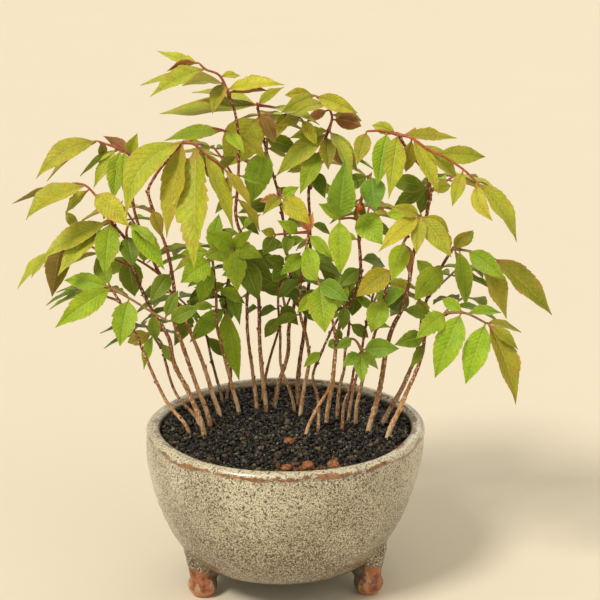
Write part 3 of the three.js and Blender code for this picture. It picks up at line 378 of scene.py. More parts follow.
# Each seedling has its thickness at the foot and top, its stem's points, and its leaves. A leaf has its
# stalk's points, none where the leaflets sit on the stem, and its leaflets, with a letter for the looks of
# each, a capital where its margin is toothed. A leaflet is where it starts and where its tip is, across and
# up, its seen width (below 0 where the underside shows), how far its tip leans back, and a bow. The rear
# leaves are given by their stalks alone.
SEEDLINGS = [
    {"thick": (1.9, 1.1),
     "stem": [(-38, 60.2, -5), (-46.3, 72.5, -6), (-50, 80.5, -8), (-56, 96, -10), (-63.8, 113.8, -13),
      (-67, 119.5, -14)],
     "leaves": [
         ([],
          [(-67, 119.5, -84.5, 122, 7, 6), (-67, 119, -88, 117, 3.5, 16),
           (-67, 118.5, -88.7, 103, 9.5, -10), (-67, 119.5, -72, 131, 7, 10)],
          "mmGm"),
         ([(-66.5, 119, -14), (-60, 115, -17), (-48.8, 107.8, -19), (-44.8, 105.5, -19)],
          [(-60, 114.7, -64, 95.5, 10, -8), (-44.8, 105.5, -32.5, 111.5, 6, -3), (-46, 107, -41, 118, 5, 6),
           (-51, 109.5, -50, 98, 5, 5)],
          "Gddd"),
     ],
     "rear": [[(-63.8, 113.8, -13), (-72, 117, 2), (-74, 119, 12)]]},
    {"thick": (2.6, 1.3),
     "stem": [(-32.3, 60.4, -7), (-37.7, 76.5, -7), (-43.5, 89.7, -6), (-44.9, 98.3, -4), (-51, 109.5, -2),
      (-58, 127, -2), (-60, 137, -4), (-66, 145, -6)],
     "leaves": [
         ([(-66, 145, -6), (-78, 141, -4), (-89, 133.5, -2)],
          [(-67, 145, -93, 130, 8, -9, 2), (-89, 133.5, -102.5, 118.5, 3.5, 3),
           (-69, 144.5, -87, 123.5, 8, -16), (-66, 145, -69, 124, 10, -12),
           (-85, 136, -89.4, 115.3, -10, 6), (-89, 133.5, -97, 123, 3, -6), (-78, 141, -83, 149, 4, 8)],
          "yyyGyyy"),
         ([(-66, 145, -6), (-72, 156, -7), (-75, 159, -7), (-79, 160, -6)],
          [(-79, 160, -103, 152, -2.5, 8, 0.2), (-79, 160, -98, 145.5, 5, -6, 3),
           (-75, 159, -97, 147, 6, -14), (-72, 156, -59, 143, 9, -9), (-74, 157, -83, 148, 4, 10)],
          "yyyyY"),
         ([(-60, 137, -4), (-60, 142, -9), (-58.5, 145, -13)],
          [(-58.5, 145, -46, 126, 8, -6), (-60, 140, -58, 127, 8, -9), (-59, 144, -49, 135, 4, -12)],
          "gdg"),
     ],
     "rear": [[(-58, 127, -2), (-70, 133, 6), (-76, 137, 13)]]},
    {"thick": (2.2, 1.1),
     "stem": [(-29.6, 63, 2), (-35, 80.5, 2), (-40, 96.5, 1), (-43, 106, 0), (-42.6, 118.7, -3),
      (-44.5, 132, -6),
      (-50, 150, -12), (-51.5, 157, -14), (-48.5, 163, -16), (-41, 172, -18), (-38, 175.5, -19)],
     "leaves": [
         ([(-38, 175.5, -19), (-34.5, 175, -20), (-30, 171, -20), (-25, 167.5, -19), (-21, 163.5, -18)],
          [(-38, 175.5, -60, 146.5, 11, -12, 6.5), (-38, 175, -45, 138.5, 8.5, -13),
           (-32.9, 173.7, -34.8, 126.1, 12.8, -20), (-30, 171, -19.5, 141, 6, -9),
           (-23, 165.5, -12.5, 150, 4, -5), (-32, 172.5, -23.3, 159.2, 7, 4),
           (-21, 163.5, -24, 150, 5, -8)],
          "yyYyogo"),
         ([],
          [(-50, 150, -46.7, 138.7, 5, -7), (-43.5, 125, -52, 113, 7, -9)],
          "od"),
     ],
     "rear": []},
    {"thick": (1.6, 1),
     "stem": [(-34, 63.5, 3), (-42.8, 76.4, 5), (-46.5, 89, 5), (-48, 97, 4), (-51, 100.5, 3)],
     "leaves": [
         ([],
          [(-51, 100.5, -55, 86, 4, -5), (-51, 100.5, -61, 97, 6, 6), (-48, 97, -43, 88, 4, -4)],
          "mod"),
     ],
     "rear": [[(-48, 95, 4), (-52, 101, 14), (-54, 104, 20)]]},
    {"thick": (2.4, 1.2),
     "stem": [(-25.9, 67.5, 14), (-28, 74.5, 14), (-32.7, 90.6, 14), (-35, 97, 14), (-41, 112, 13),
      (-48, 124.6, 12), (-52, 134, 12), (-57, 150, 10), (-57, 170, 8)],
     "leaves": [
         ([(-57, 170, 8), (-60, 172, 7), (-70, 176, 5)],
          [(-70, 176, -93.5, 161.5, 8, -6, 3.2), (-69, 175.6, -66, 166, -4, 9),
           (-62, 172.8, -77, 162.5, 2.5, 10), (-70, 176, -89.5, 160.5, 3, 12), (-60, 172, -61, 157, 6, -12),
           (-61.6, 172.6, -64.8, 153.4, 8, -10), (-63, 173.2, -72, 158, 5, -3), (-58, 171, -55, 179, 5, -6),
           (-57.6, 170.7, -67.8, 177.9, -5, 6)],
          "yygogmyyr"),
         ([(-48, 124.6, 12), (-56, 130, 8), (-60, 132, 5)],
          [(-60, 132, -57.7, 115.5, 9.5, 2), (-58, 131, -70, 124, 6, 8), (-54, 128.5, -52, 142, 6, 3)],
          "dmm"),
     ],
     "rear": [[(-52, 134, 12), (-58, 146, 26), (-62, 152, 36)], [(-57, 160, 9), (-50, 168, 22),
      (-48, 171, 30)]]},
    {"thick": (1.6, 1),
     "stem": [(-24.7, 73.1, 30), (-27.2, 84, 30), (-29.2, 92.7, 30), (-30.5, 99.7, 30), (-36, 109, 27)],
     "leaves": [
         ([],
          [(-36, 109, -46, 89.8, 7.5, -6), (-36, 109, -47, 111, 5, 9), (-36, 109, -31, 121, 6, 5),
           (-30.5, 99.7, -23, 91, 5, 3)],
          "Dmdd"),
     ],
     "rear": [[(-33, 104, 28), (-38, 112, 38), (-42, 116, 44)]]},
    {"thick": (2.1, 1.1),
     "stem": [(-18.4, 69, 19), (-20.2, 76.5, 19), (-22, 84, 18), (-24.3, 94, 17), (-26.5, 105, 16),
      (-26.5, 114, 15), (-27.3, 126, 13), (-28, 133, 12)],
     "leaves": [
         ([],
          [(-28, 130, -40, 121, 11, -6), (-28, 133, -40, 132.5, 5, 5), (-28, 133, -43, 125, 4, 12),
           (-28, 133, -25, 148, 7, 6), (-27.5, 128, -33, 113, 7, 3)],
          "GmyMg"),
     ],
     "rear": [[(-27, 122, 13), (-33, 132, 28), (-36, 136, 36)]]},
    {"thick": (1.6, 1),
     "stem": [(-23, 74.3, 34), (-21.2, 84, 32), (-22.3, 95, 29), (-23, 111, 25), (-22, 122, 23)],
     "leaves": [
         ([],
          [(-23, 111.3, -37, 97, 7.5, -3), (-23, 110.5, -18, 81.3, 8.5, -7), (-22, 122, -17.5, 104, 6, -5),
           (-22.3, 118, -35, 119, 3, 4), (-22.5, 115, -38, 113.5, 3, 10), (-22, 122, -13, 130, 7, 6),
           (-21.9, 121.7, -21.7, 104.5, 6.5, 5)],
          "ggbddmb"),
     ],
     "rear": [[(-22.5, 117, 24), (-20, 127, 38), (-19, 132, 46)]]},
    {"thick": (2, 1.1),
     "stem": [(-11.3, 70.3, 22), (-12.8, 85, 21), (-14.6, 101.3, 20), (-14.8, 111, 18), (-15.5, 130, 12),
      (-20, 135, 10)],
     "leaves": [
         ([],
          [(-20, 135, -30.5, 131, 9, -5), (-20, 135, -8.5, 131, 7, -6), (-20, 135, -18.3, 117.5, 9.5, -9),
           (-20, 135, -12, 142, 5, -6), (-16, 131, -10.3, 114, 9, -4), (-20, 135, -29.6, 141, 8, -4)],
          "mMGmdg"),
     ],
     "rear": []},
    {"thick": (2.2, 1.1),
     "stem": [(-7.6, 69.4, 20), (-9.2, 85.7, 19), (-10, 98, 18), (-10.2, 114, 16), (-12, 128, 14),
      (-18.7, 148.5, 11), (-18, 157, 10), (-17.3, 168.5, 9), (-18.5, 186.5, 8), (-20.5, 193, 8)],
     "leaves": [
         ([(-20.5, 193, 8), (-24.7, 201, 7), (-29.5, 203, 6), (-31.5, 205, 6)],
          [(-31.5, 205, -47, 209.6, 4, 4, -0.4), (-29, 203, -50, 192.5, 7, -12, 1.5),
           (-29.5, 203, -53.6, 196.8, 3, 9, 0.2), (-31.5, 205, -43.5, 202, -3, -5),
           (-23, 197.5, -38, 196.6, 4.5, -14), (-22, 195, 0.1, 197, 5.5, -6),
           (-24, 200, -16.5, 200.3, 3, 8), (-23, 197.5, -27, 186, 6, -16),
           (-19.9, 194.4, -6.2, 194.7, -4, -2)],
          "YYYroYYor"),
         ([(-18, 177, 9), (-23, 180, 3), (-27, 181, -1)],
          [(-23.4, 180.1, -45.1, 176, 5.5, -5, 1), (-22, 179.5, -15, 171, 5, -12),
           (-22.7, 179.8, -35.8, 175.6, -3.5, -7)],
          "mgr"),
         ([],
          [(-16, 142, -9, 148, 3, -8), (-18.1, 154.2, -9.6, 141, 3.5, -4)],
          "mo"),
     ],
     "rear": [[(-18, 160, 9.5), (-24, 170, 22), (-27, 174, 30)]]},
    {"thick": (1.6, 1),
     "stem": [(-9, 74.3, 33), (-8, 81.7, 33), (-6, 90.7, 34), (-3.6, 98.8, 35), (-1, 107.7, 37),
      (3, 118, 39)],
     "leaves": [
         ([],
          [(3, 118, -8, 125, 6, 3), (3, 118, 6, 131, 6, 4), (3, 118, 10, 108, 6, -5),
           (-1, 107.7, -8, 99, 5, -4)],
          "dmdd"),
     ],
     "rear": [[(0, 111, 37.5), (-2, 119, 48), (-4, 122, 54)]]},
    {"thick": (2.2, 1.1),
     "stem": [(-4.2, 71, 24.5), (-2.7, 80, 23.5), (1, 93, 22), (1.4, 103.7, 22), (3.3, 112, 22), (1, 130, 22),
      (-0.8, 145.7, 22), (-2.5, 156, 22), (-5, 165, 22), (-8, 177, 22), (-10.2, 189.5, 22)],
     "leaves": [
         ([],
          [(-10.2, 189.5, -46.6, 186.2, 6.5, 5, 0.3), (-11.5, 185, -22.1, 166.1, 15.5, 3),
           (-10, 190, -34.5, 194.2, 3, 12), (-9.6, 187, -3.7, 175.2, -6.5, -8), (-7, 173, -13, 152, 11, -5),
           (-7.8, 177.1, 4.5, 172.2, 7, 7)],
          "yyyomd"),
         ([(-10.2, 189.5, 22), (-3.5, 188.5, 21), (0, 187.5, 20), (6, 184.5, 18)],
          [(-5, 189, 13, 182, 4, -7), (-10.3, 189.9, -0.3, 196.2, 4, -5), (6, 184.5, 12, 174, 5, -3),
           (1, 187.2, -3, 177, 5, -9), (5.6, 184.6, -3.3, 181.3, 5, -6)],
          "yyyyo"),
         ([(-2.5, 156, 22), (-2, 157, 12), (-1.5, 154.5, 5)],
          [(-1.5, 154.5, -9.7, 152.7, 4, -3), (-1.5, 154.5, -8.6, 147.5, 4.5, -7),
           (-1.5, 154.5, 5.3, 158.5, 4.5, -2), (-1.5, 154.5, 9.5, 144, 8.5, -7)],
          "PoMy"),
     ],
     "rear": [[(-7, 173, 22), (-6, 183, 36), (-6, 187, 44)]]},
    {"thick": (1.6, 1),
     "stem": [(3.4, 69.5, 19), (1.1, 79, 16), (-1.5, 86, 15), (-2, 100, 14), (-2.3, 119.3, 12),
      (0.2, 128, 11)],
     "leaves": [
         ([],
          [(0.2, 128, -8, 131.5, 5, -4), (0.2, 128, -5, 121, 6, -6), (0.2, 128, 6, 133, 5, -6),
           (-2, 112, 5, 104, 6, -6), (-2.2, 108, -8, 99, 5, 3)],
          "ddmdd"),
     ],
     "rear": []},
    {"thick": (2.5, 1.1),
     "stem": [(4.9, 72.8, 30), (4.8, 81.7, 29), (5.6, 90, 28), (7, 99.7, 27), (8.6, 116, 27), (9.5, 130, 27),
      (9.4, 143.3, 26), (9.4, 161.5, 24), (13, 172, 21), (16.3, 180, 19)],
     "leaves": [
         ([(16.3, 180, 19), (17.5, 185, 18), (15, 190, 16), (11.2, 193, 15)],
          [(11.2, 193, -1.5, 186.5, 6, -8), (11.2, 193, 0, 193.2, 5, 4), (15, 190, 3, 186, 5, -14),
           (16, 187.5, 8, 183, -4, -10), (11.2, 193, 27.1, 186.5, 6.5, -3, 0.5),
           (17.3, 186, 28.5, 183.5, 6, 5), (17.2, 184, 28.5, 181.5, -7, -7)],
          "yyyryor"),
         ([],
          [(16, 179.5, -4.5, 176, 5, -6, 1), (16, 179, -3.5, 162.5, 8, -13), (15.5, 178, 16.2, 165, 7, -9),
           (16.3, 180, 25.3, 161.7, 5, -14), (16.3, 180, 27.3, 164.2, 6.5, -4), (10.5, 165, 15, 154, 6, -6),
           (13.1, 172.6, 5.6, 155.7, 7.5, -9)],
          "yyOyydg"),
     ],
     "rear": [[(9.4, 158, 24.5), (14, 168, 38), (17, 172, 46)]]},
    {"thick": (2.1, 1.1),
     "stem": [(5.8, 67.1, 13.5), (7.1, 77.7, 13), (9.2, 90.7, 12), (8.3, 98, 10), (5.5, 110.2, 5),
      (6, 122, 3),
      (9, 141, 2)],
     "leaves": [
         ([(9, 141, 2), (2, 140.5, 2), (-3.5, 140, 3)],
          [(5, 140.7, -3, 145.5, 5, -5), (-3.5, 140, -9.2, 141.5, 4, -2), (-3.5, 140, -8.5, 131.8, 5.5, -4),
           (2, 140.5, 0, 132, 5, -6)],
          "godd"),
         ([],
          [(9, 140, 17.6, 130.5, 5, -6), (8, 136, 11.5, 121.3, 7, -8), (7.3, 132, -2, 124, 6, -7),
           (9, 141, 10.5, 149, 3, -3), (9, 141, 4.5, 148, 3, -5)],
          "gggss"),
     ],
     "rear": []},
    {"thick": (1.6, 1.1),
     "stem": [(7.9, 59, -8), (12.1, 69.8, -10), (16.7, 77.9, -12), (19.2, 89.9, -14), (18.5, 104, -15),
      (13, 121, -16)],
     "leaves": [
         ([],
          [(13, 121, 15.3, 101, 12, -8), (13, 121, 24.5, 113.5, 7, -7), (13, 121, 6, 129, 6, 6),
           (14, 118, 4.5, 109, 5, 3)],
          "Mbmm"),
     ],
     "rear": []},
    {"thick": (1.7, 1),
     "stem": [(12.8, 60.2, -4), (12.5, 74.5, -2), (10.6, 82.5, -1), (14, 93.2, -1), (16.7, 99.7, 0),
      (23, 112, 1)],
     "leaves": [
         ([],
          [(23, 112, 22, 102, 5, -4), (23, 112, 13, 116, 6, -3), (23, 112, 19, 124, 6, 2),
           (14, 93.5, 7, 87, 4, -3)],
          "dmdm"),
     ],
     "rear": []},
    {"thick": (2.2, 1.2),
     "stem": [(16, 64.3, 7), (16.7, 71.5, 7), (18.2, 79.7, 7), (19, 90.4, 7), (21, 104.5, 7),
      (28.8, 124.5, 6),
      (28.6, 130, 6), (28, 137.9, 5), (27.5, 148, 4), (30, 158, 4), (32, 163, 4)],
     "leaves": [
         ([(27.6, 146, 4), (24, 146.5, 0), (20.5, 146, -3)],
          [(20.5, 146, 22.5, 169, 11, -6), (20.5, 146, 21, 124, 9, -8), (22.5, 146.3, 12.5, 152, 6, -5)],
          "bgm"),
         ([],
          [(27.5, 148, 37, 136, 11, -10), (32, 163, 34, 149, 10, -9), (29, 154, 27.5, 144, 5, 8),
           (32, 163, 22, 158, 6, 5), (28.7, 127, 20, 119, 6, -6), (27.8, 120.9, 25.6, 107.7, 7, 6)],
          "gbdddd"),
     ],
     "rear": [[(28, 138, 5), (31, 148, 18), (32, 152, 26)]]},
    {"thick": (1.8, 1.1),
     "stem": [(20.2, 66.7, 13), (21.2, 79.7, 13), (22.7, 86, 14), (23, 93, 15), (24.5, 104, 16),
      (22, 117, 17)],
     "leaves": [
         ([],
          [(22, 117, 13, 127, 6, -5), (22, 117, 14, 110, 6, -4), (22, 117, 27, 127, 5, 3),
           (24.2, 105, 32, 99, 5, 4)],
          "dmdd"),
     ],
     "rear": [[(23.5, 109, 16.5), (20, 118, 30), (18, 122, 38)]]},
    {"thick": (1.7, 1),
     "stem": [(24.6, 65.6, 10), (26, 76, 11), (28.5, 87.5, 13), (31, 104, 16), (34, 118, 18)],
     "leaves": [
         ([],
          [(34, 118, 26, 123, 5, 3), (34, 118, 36, 131, 6, 4), (34, 118, 43, 110, 6, -5),
           (31, 104, 41, 103, 3, -6)],
          "dmmg"),
     ],
     "rear": [[(32, 109, 16.7), (36, 118, 32), (38, 122, 42)]]},
    {"thick": (1.7, 1),
     "stem": [(22.2, 62, -1), (22.8, 71.5, -3), (25.5, 79.7, -6), (27, 88, -9), (29.5, 94, -11)],
     "leaves": [
         ([(29.5, 94, -11), (26, 98.5, -13), (22, 98, -14)],
          [(26, 98.5, 19.5, 94.5, 4.5, -4), (22, 98, 16.5, 95.5, 4, 2), (22, 98, 18.5, 102.5, 3.5, 3)],
          "Bbd"),
         ([],
          [(29, 92.8, 22.2, 87.2, 5.5, -5), (29, 93, 29.7, 80.5, 6, -7), (29.5, 94, 44, 94.5, 8, -3),
           (29.5, 93.5, 36, 86, 4.5, -6)],
          "BBbd"),
     ],
     "rear": []},
    {"thick": (2, 1.1),
     "stem": [(27.4, 63.4, 4), (27.7, 70.5, 3), (29.5, 79.7, 2), (31.5, 90, 1), (34.5, 101, -1),
      (37.5, 114, -4),
      (41, 127, -7), (46, 139, -10), (51, 147.2, -12)],
     "leaves": [
         ([],
          [(51, 147.2, 39, 150.8, 5, -4, 1), (51, 147.2, 35.3, 133, 7, -10),
           (51, 147.2, 49.8, 132.3, 6, -9), (51, 147.2, 63.2, 131, 8, -7), (51, 147.2, 62, 141, 6, 4),
           (40.8, 126.5, 27, 115.4, 9, -5), (37.8, 115, 33, 100.9, 9, -6), (50.9, 147.2, 38.1, 148, 6, 7),
           (44.3, 137.9, 40.7, 121.7, 8, -7), (45.1, 136.7, 47.2, 124.1, -5, 6)],
          "lllllomggr"),
     ],
     "rear": []},
    {"thick": (2.7, 1.3),
     "stem": [(32.5, 60.8, -3), (34.7, 69.5, -3), (36.9, 79.7, -3), (39.8, 98, -1), (41.5, 103.7, 0),
      (44.2, 109.3, 1), (46.8, 119, 2), (48.6, 131.5, 2), (53.8, 150, 0), (54, 161, -1), (52, 165, -2),
      (47.3, 170.5, -3), (42, 178.5, -5)],
     "leaves": [
         ([(42, 178.5, -5), (36, 179.8, -4), (30.5, 179.7, -2)],
          [(42.1, 179, 32.4, 182, 5, 6), (30.5, 179.7, 26.9, 166.9, 6.5, -8),
           (38, 179.3, 34.5, 158.5, 8, -9)],
          "yog"),
         ([(42, 178.5, -5), (47.5, 177, -8), (52.5, 173.5, -10), (61, 169, -12), (67, 165, -13),
          (72, 160.3, -14)],
          [(43, 178.3, 64.1, 177.1, 5, 7, 0), (47.5, 177, 57.8, 155.5, 6.5, -6),
           (50.5, 174.8, 65, 161, 6, 4), (56.5, 171.4, 75, 170, 7, 6, 0.4), (66.8, 165, 63, 151, 5.5, -5),
           (72, 160.3, 78.5, 145.3, 6, -6, -2), (72, 160.3, 87.8, 137, 7, -2, 2.2),
           (47.3, 177.1, 45.3, 164.2, 6, 6)],
          "Oyyyylyo"),
         ([],
          [(42, 178.5, 39, 153.8, 8, -13), (53.9, 158, 41, 151, 6, 7), (53.9, 161, 51, 148, 6, 9),
           (53.7, 158, 39.4, 160.4, 7, 9), (54.1, 157.3, 62.3, 158.8, 5, 7)],
          "ydddy"),
     ],
     "rear": [[(54, 156, -0.6), (61, 161, 10), (64, 163, 18)]]},
    {"thick": (2.7, 1.2),
     "stem": [(38.4, 64.4, 6.5), (41.8, 71.5, 7), (45.4, 78.5, 8), (48, 85, 9), (50.6, 92, 10),
      (51.5, 98, 11),
      (52.8, 109, 11), (57, 122, 9), (63.5, 134.5, 5)],
     "leaves": [
         ([(63.5, 134.5, 5), (70, 133.5, 3), (79, 131, 1)],
          [(66, 134, 69.3, 111, 7, -5), (69, 133.5, 84, 122, 8, -9), (79, 131, 102.5, 108, 9, -4, 1.2),
           (75, 132.2, 85, 106.5, 8, 6), (66, 134, 71.5, 141, 4, 7), (64.5, 134.3, 67, 117, 3, 8)],
          "mGoyGg"),
         ([],
          [(60, 128, 49.5, 114, 10, -4), (62, 131.5, 57.8, 143.7, 6.5, 5), (63.5, 134.5, 71.3, 141.7, 5, 2),
           (57, 122, 50, 130, 6, 5)],
          "myog"),
         ([(52.8, 109, 11), (51, 115, 9), (48, 117, 8)],
          [(48, 117, 40, 121, 6, 3), (50.5, 115.5, 54.5, 105, 6, -3), (48, 117, 40.3, 107.5, -7, -3)],
          "yYm"),
     ],
     "rear": [[(55, 116, 10.2), (63, 124, 24), (67, 128, 32)]]},
    {"thick": (2.6, 1.3),
     "stem": [(40.2, 58.5, -9), (44.7, 70.2, -11), (47.5, 77.6, -12), (50, 83.4, -13), (53, 93, -15),
      (54, 100, -16), (61.7, 109, -18)],
     "leaves": [
         ([(61.7, 109, -18), (68.5, 109, -20), (78, 104.5, -21)],
          [(69.5, 108.7, 83, 109, 4, 7), (77, 105, 91, 101, 3, 8), (78, 104.5, 90, 94, 4.5, -4),
           (67.5, 109, 58, 82.5, 11, -7), (77, 105, 70, 80, 10, -5), (78, 104.5, 89.8, 71.5, 8.5, -6, 1.5),
           (68.5, 109, 60, 114.5, 5, 8)],
          "mooggoM"),
         ([],
          [(61.7, 109, 50.3, 98.5, 8.5, -6), (53.9, 99.5, 42, 96, 7, -7), (53.5, 97, 48.3, 86, 3.5, -5)],
          "Gdd"),
     ],
     "rear": [[(57, 104, -17), (64, 112, -6), (68, 115, 2)]]},
]


def to_metres(points):
    return (np.asarray(points, dtype=float) + BOWL_PLACE) * MM


def boxed(points):
    """The points in metres, held within the box of the CAD solids."""
    return np.clip(to_metres(points), *CAD_BOUNDS)


def unit(vector):
    return vector / np.linalg.norm(vector)


def smoothstep(value, low, high):
    share = np.clip((np.asarray(value, dtype=float) - low) / (high - low), 0, 1)
    return share * share * (3 - 2 * share)


# Materials


class Shader:
    """A material with one Principled shader, and short calls for the nodes that feed it."""

    def __init__(self, name, **constants):
        self.material = bpy.data.materials.new(name)
        self.material.use_nodes = True
        self.tree = self.material.node_tree
        self.surface = self.tree.nodes["Principled BSDF"]
        for socket, value in constants.items():
            self.surface.inputs[socket.replace("_", " ")].default_value = value

    def feed(self, socket, value):
        if isinstance(value, bpy.types.NodeSocket):
            self.tree.links.new(value, socket)
        else:
            socket.default_value = value

    def node(self, kind, **settings):
        made = self.tree.nodes.new(kind)
        for name, value in settings.items():
            setattr(made, name, value)
        return made

    def here(self):
        """The place on the object, in metres in the frame."""
        return self.node("ShaderNodeTexCoord").outputs["Object"]

    def attribute(self, name, output="Color"):
        return self.node("ShaderNodeAttribute", attribute_name=name).outputs[output]

    def parts(self, vector):
        made = self.node("ShaderNodeSeparateXYZ")
        self.feed(made.inputs[0], vector)
        return made.outputs

    def stretched(self, vector, scale):
        made = self.node("ShaderNodeMapping")
        self.feed(made.inputs["Vector"], vector)
        made.inputs["Scale"].default_value = scale
        return made.outputs[0]

    def noise(self, vector, scale, detail=3.0, roughness=0.55):
        """Noise from 0 to 1. Scales are in waves or cells a metre."""
        made = self.node("ShaderNodeTexNoise")
        self.feed(made.inputs["Vector"], vector)
        for name, value in (("Scale", scale), ("Detail", detail), ("Roughness", roughness)):
            made.inputs[name].default_value = value
        return made.outputs["Fac"]

    def cells(self, vector, scale, feature="F1", output="Distance"):
        made = self.node("ShaderNodeTexVoronoi", feature=feature)
        self.feed(made.inputs["Vector"], vector)
        made.inputs["Scale"].default_value = scale
        return made.outputs[output]

    def math(self, operation, a, b=0.0, clamp=False):
        made = self.node("ShaderNodeMath", operation=operation, use_clamp=clamp)
        self.feed(made.inputs[0], a)
        self.feed(made.inputs[1], b)
        return made.outputs[0]

    def plus(self, a, b, clamp=False):
        return self.math("ADD", a, b, clamp)

    def less(self, a, b):
        return self.math("SUBTRACT", a, b)

    def times(self, a, b):
        return self.math("MULTIPLY", a, b)

    def sway(self, value, reach):
        """Noise from 0 to 1 as a change to both sides of 0, by the reach in all."""
        return self.times(self.less(value, 0.5), reach)

    def step(self, value, low, high, to_low=0.0, to_high=1.0):
        """A soft step from one result to another, as the value goes from low to high."""
        made = self.node("ShaderNodeMapRange", interpolation_type="SMOOTHSTEP")
        self.feed(made.inputs["Value"], value)
        for name, number in (("From Min", low), ("From Max", high), ("To Min", to_low), ("To Max", to_high)):
            made.inputs[name].default_value = number
        return made.outputs["Result"]

    def mix(self, share, first, second, blend="MIX"):
        made = self.node("ShaderNodeMix", data_type="RGBA", blend_type=blend)
        self.feed(made.inputs[0], share)
        for socket, colour in ((made.inputs[6], first), (made.inputs[7], second)):
            self.feed(socket, (*colour, 1.0) if isinstance(colour, tuple) else colour)
        return made.outputs[2]

    def tinted(self, colour, by):
        return self.mix(1.0, colour, by, "MULTIPLY")

    def ramp(self, value, stops):
        made = self.node("ShaderNodeValToRGB")
        self.feed(made.inputs["Fac"], value)
        elements = made.color_ramp.elements
        while len(elements) < len(stops):
            elements.new(0.5)
        for element, (place, colour) in zip(elements, stops):
            element.position = place
            element.color = (*colour, 1.0)
        return made.outputs["Color"]

    def bumps(self, *layers):
        """Each layer is a height, how strong it is, and its depth in metres."""
        normal = None
        for height, strength, depth in layers:
            made = self.node("ShaderNodeBump")
            made.inputs["Strength"].default_value = strength
            made.inputs["Distance"].default_value = depth
            self.feed(made.inputs["Height"], height)
            if normal is not None:
                self.feed(made.inputs["Normal"], normal)
            normal = made.outputs["Normal"]
        self.feed(self.surface.inputs["Normal"], normal)

    def finish(self, colour, roughness):
        self.feed(self.surface.inputs["Base Color"], colour)
        self.feed(self.surface.inputs["Roughness"], roughness)
        return self.material


def leaf_material():
    """Reads each point's colour, how brown its leaflet is, and its place along and across the blade."""
    s = Shader("leaf", Specular_IOR_Level=0.28, Subsurface_Weight=0.10, Subsurface_Scale=0.0010)
    s.surface.inputs["Subsurface Radius"].default_value = (0.8, 1.0, 0.25)
    here = s.here()
    tint = s.attribute("tint")
    brown = s.attribute("tint", "Alpha")
    along, across, own = s.parts(s.attribute("place", "Vector"))
    side = s.math("ABSOLUTE", across)

    blotch = s.noise(here, 170.0, 4.0, 0.65)
    fine = s.noise(here, 1300.0, 3.0, 0.65)
    deep = s.tinted(tint, LEAF_MOTTLE_AND_SHADE)
    colour = s.mix(s.step(blotch, 0.40, 0.66, 0.0, 0.55), tint, deep)
    # Painted shade: darker towards the midrib, as the folded blade shades itself
    colour = s.mix(s.step(side, 0.62, 0.05, 0.0, 0.34), colour, deep)

    # Side veins run outward and forward from the midrib, with the blade puffed up between them and lighter
    # there, a painted highlight on the puffs
    run = s.less(s.times(along, VEINS), s.times(side, VEIN_SLANT))
    run = s.plus(run, s.plus(own, s.times(blotch, 0.5)))
    wave = s.times(s.math("ABSOLUTE", s.less(s.math("FRACT", run), 0.5)), 2.0)
    # Painted highlight: lighter between the veins
    colour = s.mix(s.step(wave, 0.35, 0.0, 0.0, 0.26), colour, s.tinted(tint, LEAF_PUFF_HIGHLIGHT))
    colour = s.mix(s.step(fine, 0.45, 0.60, 0.0, 0.60), colour, s.tinted(colour, LEAF_GRAIN))

    # Young leaflets have orange-brown patches, and a redder foot and midrib
    rim = s.times(s.times(side, side), 0.09)
    patch = s.times(s.step(s.plus(s.noise(here, 330.0, 4.0, 0.7), rim), 0.51, 0.66), brown)
    colour = s.mix(s.times(patch, 0.62), colour, LEAF_PATCH)
    foot = s.times(s.step(along, 0.14, 0.0), s.plus(s.times(brown, 0.6), 0.15))
    colour = s.mix(foot, colour, LEAF_FOOT)
    vein = s.times(s.step(wave, 0.84, 1.0), s.step(side, 1.0, 0.6))
    rib = s.step(side, 0.10, 0.03)
    lines = s.math("MAXIMUM", s.times(vein, 0.16), s.times(rib, 0.48))
    pale = s.mix(s.times(brown, 0.6), *VEIN_COLOURS)
    colour = s.mix(lines, colour, s.mix(0.65, tint, pale))

    # The margin is thin and light
    margin = s.step(side, 0.88, 0.985, 0.0, 0.50)
    colour = s.mix(margin, colour, s.mix(brown, *MARGIN_COLOURS))
    net = s.cells(here, 1300.0, "DISTANCE_TO_EDGE")
    s.bumps(
        (s.step(wave, 0.9, 0.2), 0.34, 0.0003),
        (s.less(1.0, rib), 0.4, 0.0003),
        (s.step(net, 0.0, 0.25), 0.22, 0.00012),
        (fine, 0.25, 0.00012),
    )
    return s.finish(colour, s.step(blotch, 0.3, 0.7, 0.42, 0.58))


def stalk_material():
    s = Shader("stalk", Specular_IOR_Level=0.4)
    grain = s.noise(s.here(), 700.0, 4.0)
    tint = s.attribute("tint")
    colour = s.mix(s.step(grain, 0.35, 0.7), s.tinted(tint, STALK_GRAIN), tint)
    s.bumps((grain, 0.3, 0.0002))
    return s.finish(colour, s.step(grain, 0.3, 0.7, 0.38, 0.55))


